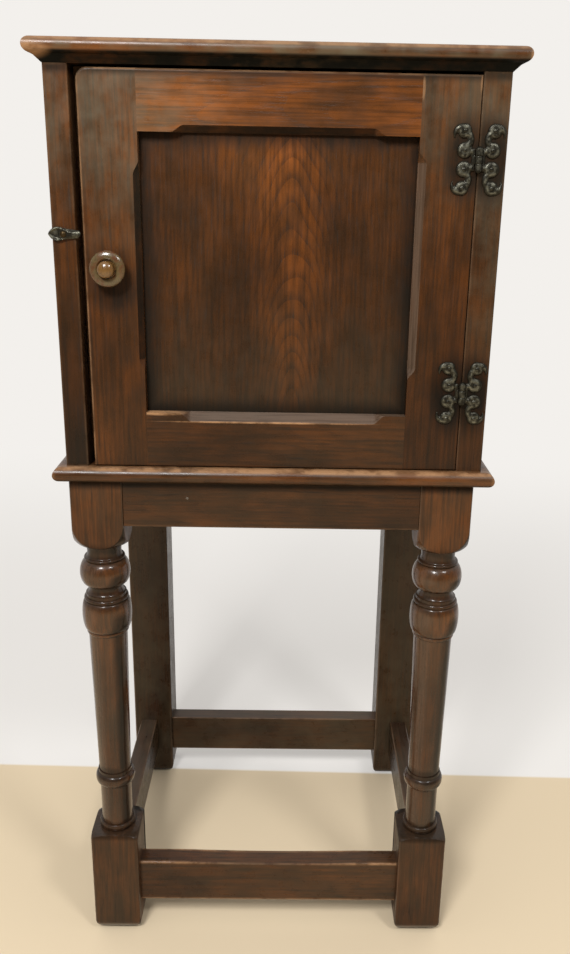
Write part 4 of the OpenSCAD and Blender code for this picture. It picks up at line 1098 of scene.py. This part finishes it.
class CUPBOARD_OT_pin_filling(bpy.types.Operator):
    """Fills the pin hole on the front rail with pale stopping"""

    bl_idname = "cupboard.pin_filling"
    bl_label = "Fill Pin Hole"

    def execute(self, context):
        # Radius and height from the rail's face, in millimetres: the filling stands a little proud
        profile = ((0, -0.8), (1.15, -0.8), (1.15, 0), (1.0, 0.12), (0.7, 0.2), (0, 0.24))
        place = Vector((-71 * MM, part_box("front_rail")[0].y, 442.5 * MM))
        points = [(r * MM, z * MM, ROUND_BLANK) for r, z in profile]
        pin = turned("pin_filling", points, pale_putty(), place, TO_FRONT, segments=32, wobble=0.0, seed=7)
        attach(pin, "cupboard")
        return {"FINISHED"}


class CUPBOARD_OT_stage(bpy.types.Operator):
    """Sets up the pale floor, the soft light and the camera"""

    bl_idname = "cupboard.stage"
    bl_label = "Set Up Stage"

    def execute(self, context):
        scene, stage = context.scene, context.scene.cupboard_stage
        self.floor(stage)
        self.world(scene, stage)
        aim, far = Vector((0, 0, 0.42)), 1.9
        for name, azimuth, height, power, size in (
                ("Main light", -18, 40, stage.key, 0.42), ("Second light", 36, 42, stage.fill, 0.3)):
            lamp = bpy.data.lights.new(name, "AREA")
            lamp.energy, lamp.size, lamp.shape = power, size, "SQUARE"
            obj = put(bpy.data.objects.new(name, lamp))
            a, e = math.radians(azimuth), math.radians(height)
            way = Vector((math.sin(a) * math.cos(e), -math.cos(a) * math.cos(e), math.sin(e)))
            obj.location = aim + far * way
            obj.rotation_euler = (aim - obj.location).to_track_quat("-Z", "Y").to_euler()
        self.camera(scene)
        scene.view_settings.view_transform = "Standard"
        return {"FINISHED"}

    def floor(self, stage):
        """A pale floor: warm near the cupboard, and as pale as the background behind it."""
        mesh = bpy.data.meshes.new("floor")
        reach = 6
        corners = [(-reach, -reach, 0), (reach, -reach, 0), (reach, reach, 0), (-reach, reach, 0)]
        mesh.from_pydata(corners, [], [(0, 1, 2, 3)])
        floor = put(bpy.data.objects.new("floor", mesh))
        material, tree, coordinates = new_material("Pale floor")
        x, y, _ = add(tree, SPLIT, [coordinates["Object"]]).outputs
        # The line where the floor turns pale runs a little askew
        line = add(tree, MATH, [x, 0.022, y], operation="MULTIPLY_ADD")
        turns_pale, wide, gone = FACE_Y + 0.245, 4 * MM, FACE_Y + 1.6
        behind = add(tree, RANGE, [line, turns_pale, turns_pale + wide])
        colour = add(tree, MIX, [behind, stage.floor, stage.background], **COLOUR)
        shader = add(tree, "ShaderNodeBsdfPrincipled", {
            "Base Color": colour, "Roughness": 0.9, "Specular IOR Level": 0.1})
        # Far back the floor takes on the background's own colour for the eye, so that no edge shows
        far = add(tree, RANGE, [line, turns_pale + 5 * MM, gone, 0.3, 1], **SMOOTH)
        for factor in (behind, add(tree, "ShaderNodeLightPath").outputs["Is Camera Ray"]):
            far = add(tree, MATH, [far, factor], operation="MULTIPLY")
        pale = add(tree, "ShaderNodeEmission", {"Color": stage.background, "Strength": 1})
        add(tree, "ShaderNodeOutputMaterial", [add(tree, "ShaderNodeMixShader", [far, shader, pale])])
        coat(floor, material)

    def world(self, scene, stage):
        """Soft light from all round, and a pale background for the eye, also through glass."""
        world = bpy.data.worlds.new("Soft studio")
        scene.world = world
        world.use_nodes = True
        tree = world.node_tree
        tree.nodes.clear()
        rays = add(tree, "ShaderNodeLightPath").outputs
        seen = add(tree, MATH, [rays["Is Camera Ray"], rays["Is Transmission Ray"]], operation="MAXIMUM")
        _, y, z = add(tree, SPLIT, [add(tree, "ShaderNodeTexCoord").outputs["Generated"]]).outputs
        # The room is dimmer in front of the cupboard than behind and above it
        depth = add(tree, RANGE, [y, -0.7, 0.6, 0.16, 0.8], **SMOOTH)
        above = add(tree, RANGE, [z, 0.35, 0.9, 0, 0.75], **SMOOTH)
        room = add(tree, MATH, [depth, above], operation="MAXIMUM")
        strength = add(tree, MIX, [seen, room, 1], data_type="FLOAT")
        light = add(tree, "ShaderNodeBackground", {"Color": stage.background, "Strength": strength})
        add(tree, "ShaderNodeOutputWorld", [light])

    def camera(self, scene):
        """The photograph's point of view: from above, looking down a little, with a slight roll."""
        data = bpy.data.cameras.new("Camera")
        camera = put(bpy.data.objects.new("Camera", data))
        data.lens, data.sensor_width, data.shift_x, data.shift_y = 34.18, 36, -0.0172, -0.0148
        data.clip_start = 0.05
        place = Vector((0.012077, FACE_Y - 0.699463, 0.694241))
        yaw, pitch, roll = math.radians(0.802), math.radians(17.47), math.radians(1.086)
        ahead = Vector((math.sin(yaw) * math.cos(pitch), math.cos(yaw) * math.cos(pitch), -math.sin(pitch)))
        right = Vector((math.cos(yaw), -math.sin(yaw), 0))
        up = right.cross(ahead)
        right, up = right * math.cos(roll) + up * math.sin(roll), up * math.cos(roll) - right * math.sin(roll)
        turn = Matrix((right, up, -ahead)).transposed().to_4x4()
        camera.matrix_world = Matrix.Translation(place) @ turn
        scene.camera = camera


class CUPBOARD_PT_panel(bpy.types.Panel):
    """Lists the cupboard's pieces and its finishes"""

    bl_idname = "CUPBOARD_PT_panel"
    bl_label = "Pot Cupboard"
    bl_space_type = "VIEW_3D"
    bl_region_type = "UI"
    bl_category = "Cupboard"

    def draw(self, context):
        layout = self.layout
        for step in STEPS:
            layout.operator(step.bl_idname)
        for name in GROUPS:
            box = layout.box()
            group = getattr(context.scene, name)
            for prop in GROUPS[name].__annotations__:
                box.prop(group, prop)


STEPS = (CUPBOARD_OT_node_groups, CUPBOARD_OT_boards, CUPBOARD_OT_turned_legs, CUPBOARD_OT_knob,
         CUPBOARD_OT_hinge_leaves, CUPBOARD_OT_nails, CUPBOARD_OT_catch, CUPBOARD_OT_pin_filling,
         CUPBOARD_OT_stage)
GROUPS = {"cupboard_oak": OakFinish, "cupboard_iron": IronFinish, "cupboard_turnery": Turnery,
          "cupboard_stage": Stage}


def register():
    for group in GROUPS.values():
        bpy.utils.register_class(group)
    for name, group in GROUPS.items():
        setattr(bpy.types.Scene, name, PointerProperty(type=group))
    for step in STEPS:
        bpy.utils.register_class(step)
    bpy.utils.register_class(CUPBOARD_PT_panel)


def unregister():
    bpy.utils.unregister_class(CUPBOARD_PT_panel)
    for step in reversed(STEPS):
        bpy.utils.unregister_class(step)
    for name in GROUPS:
        delattr(bpy.types.Scene, name)
    for group in reversed(GROUPS.values()):
        bpy.utils.unregister_class(group)


def main():
    """Makes every piece in order."""
    register()
    for step in STEPS:
        family, name = step.bl_idname.split(".")
        getattr(getattr(bpy.ops, family), name)()


if __name__ == "__main__":
    main()
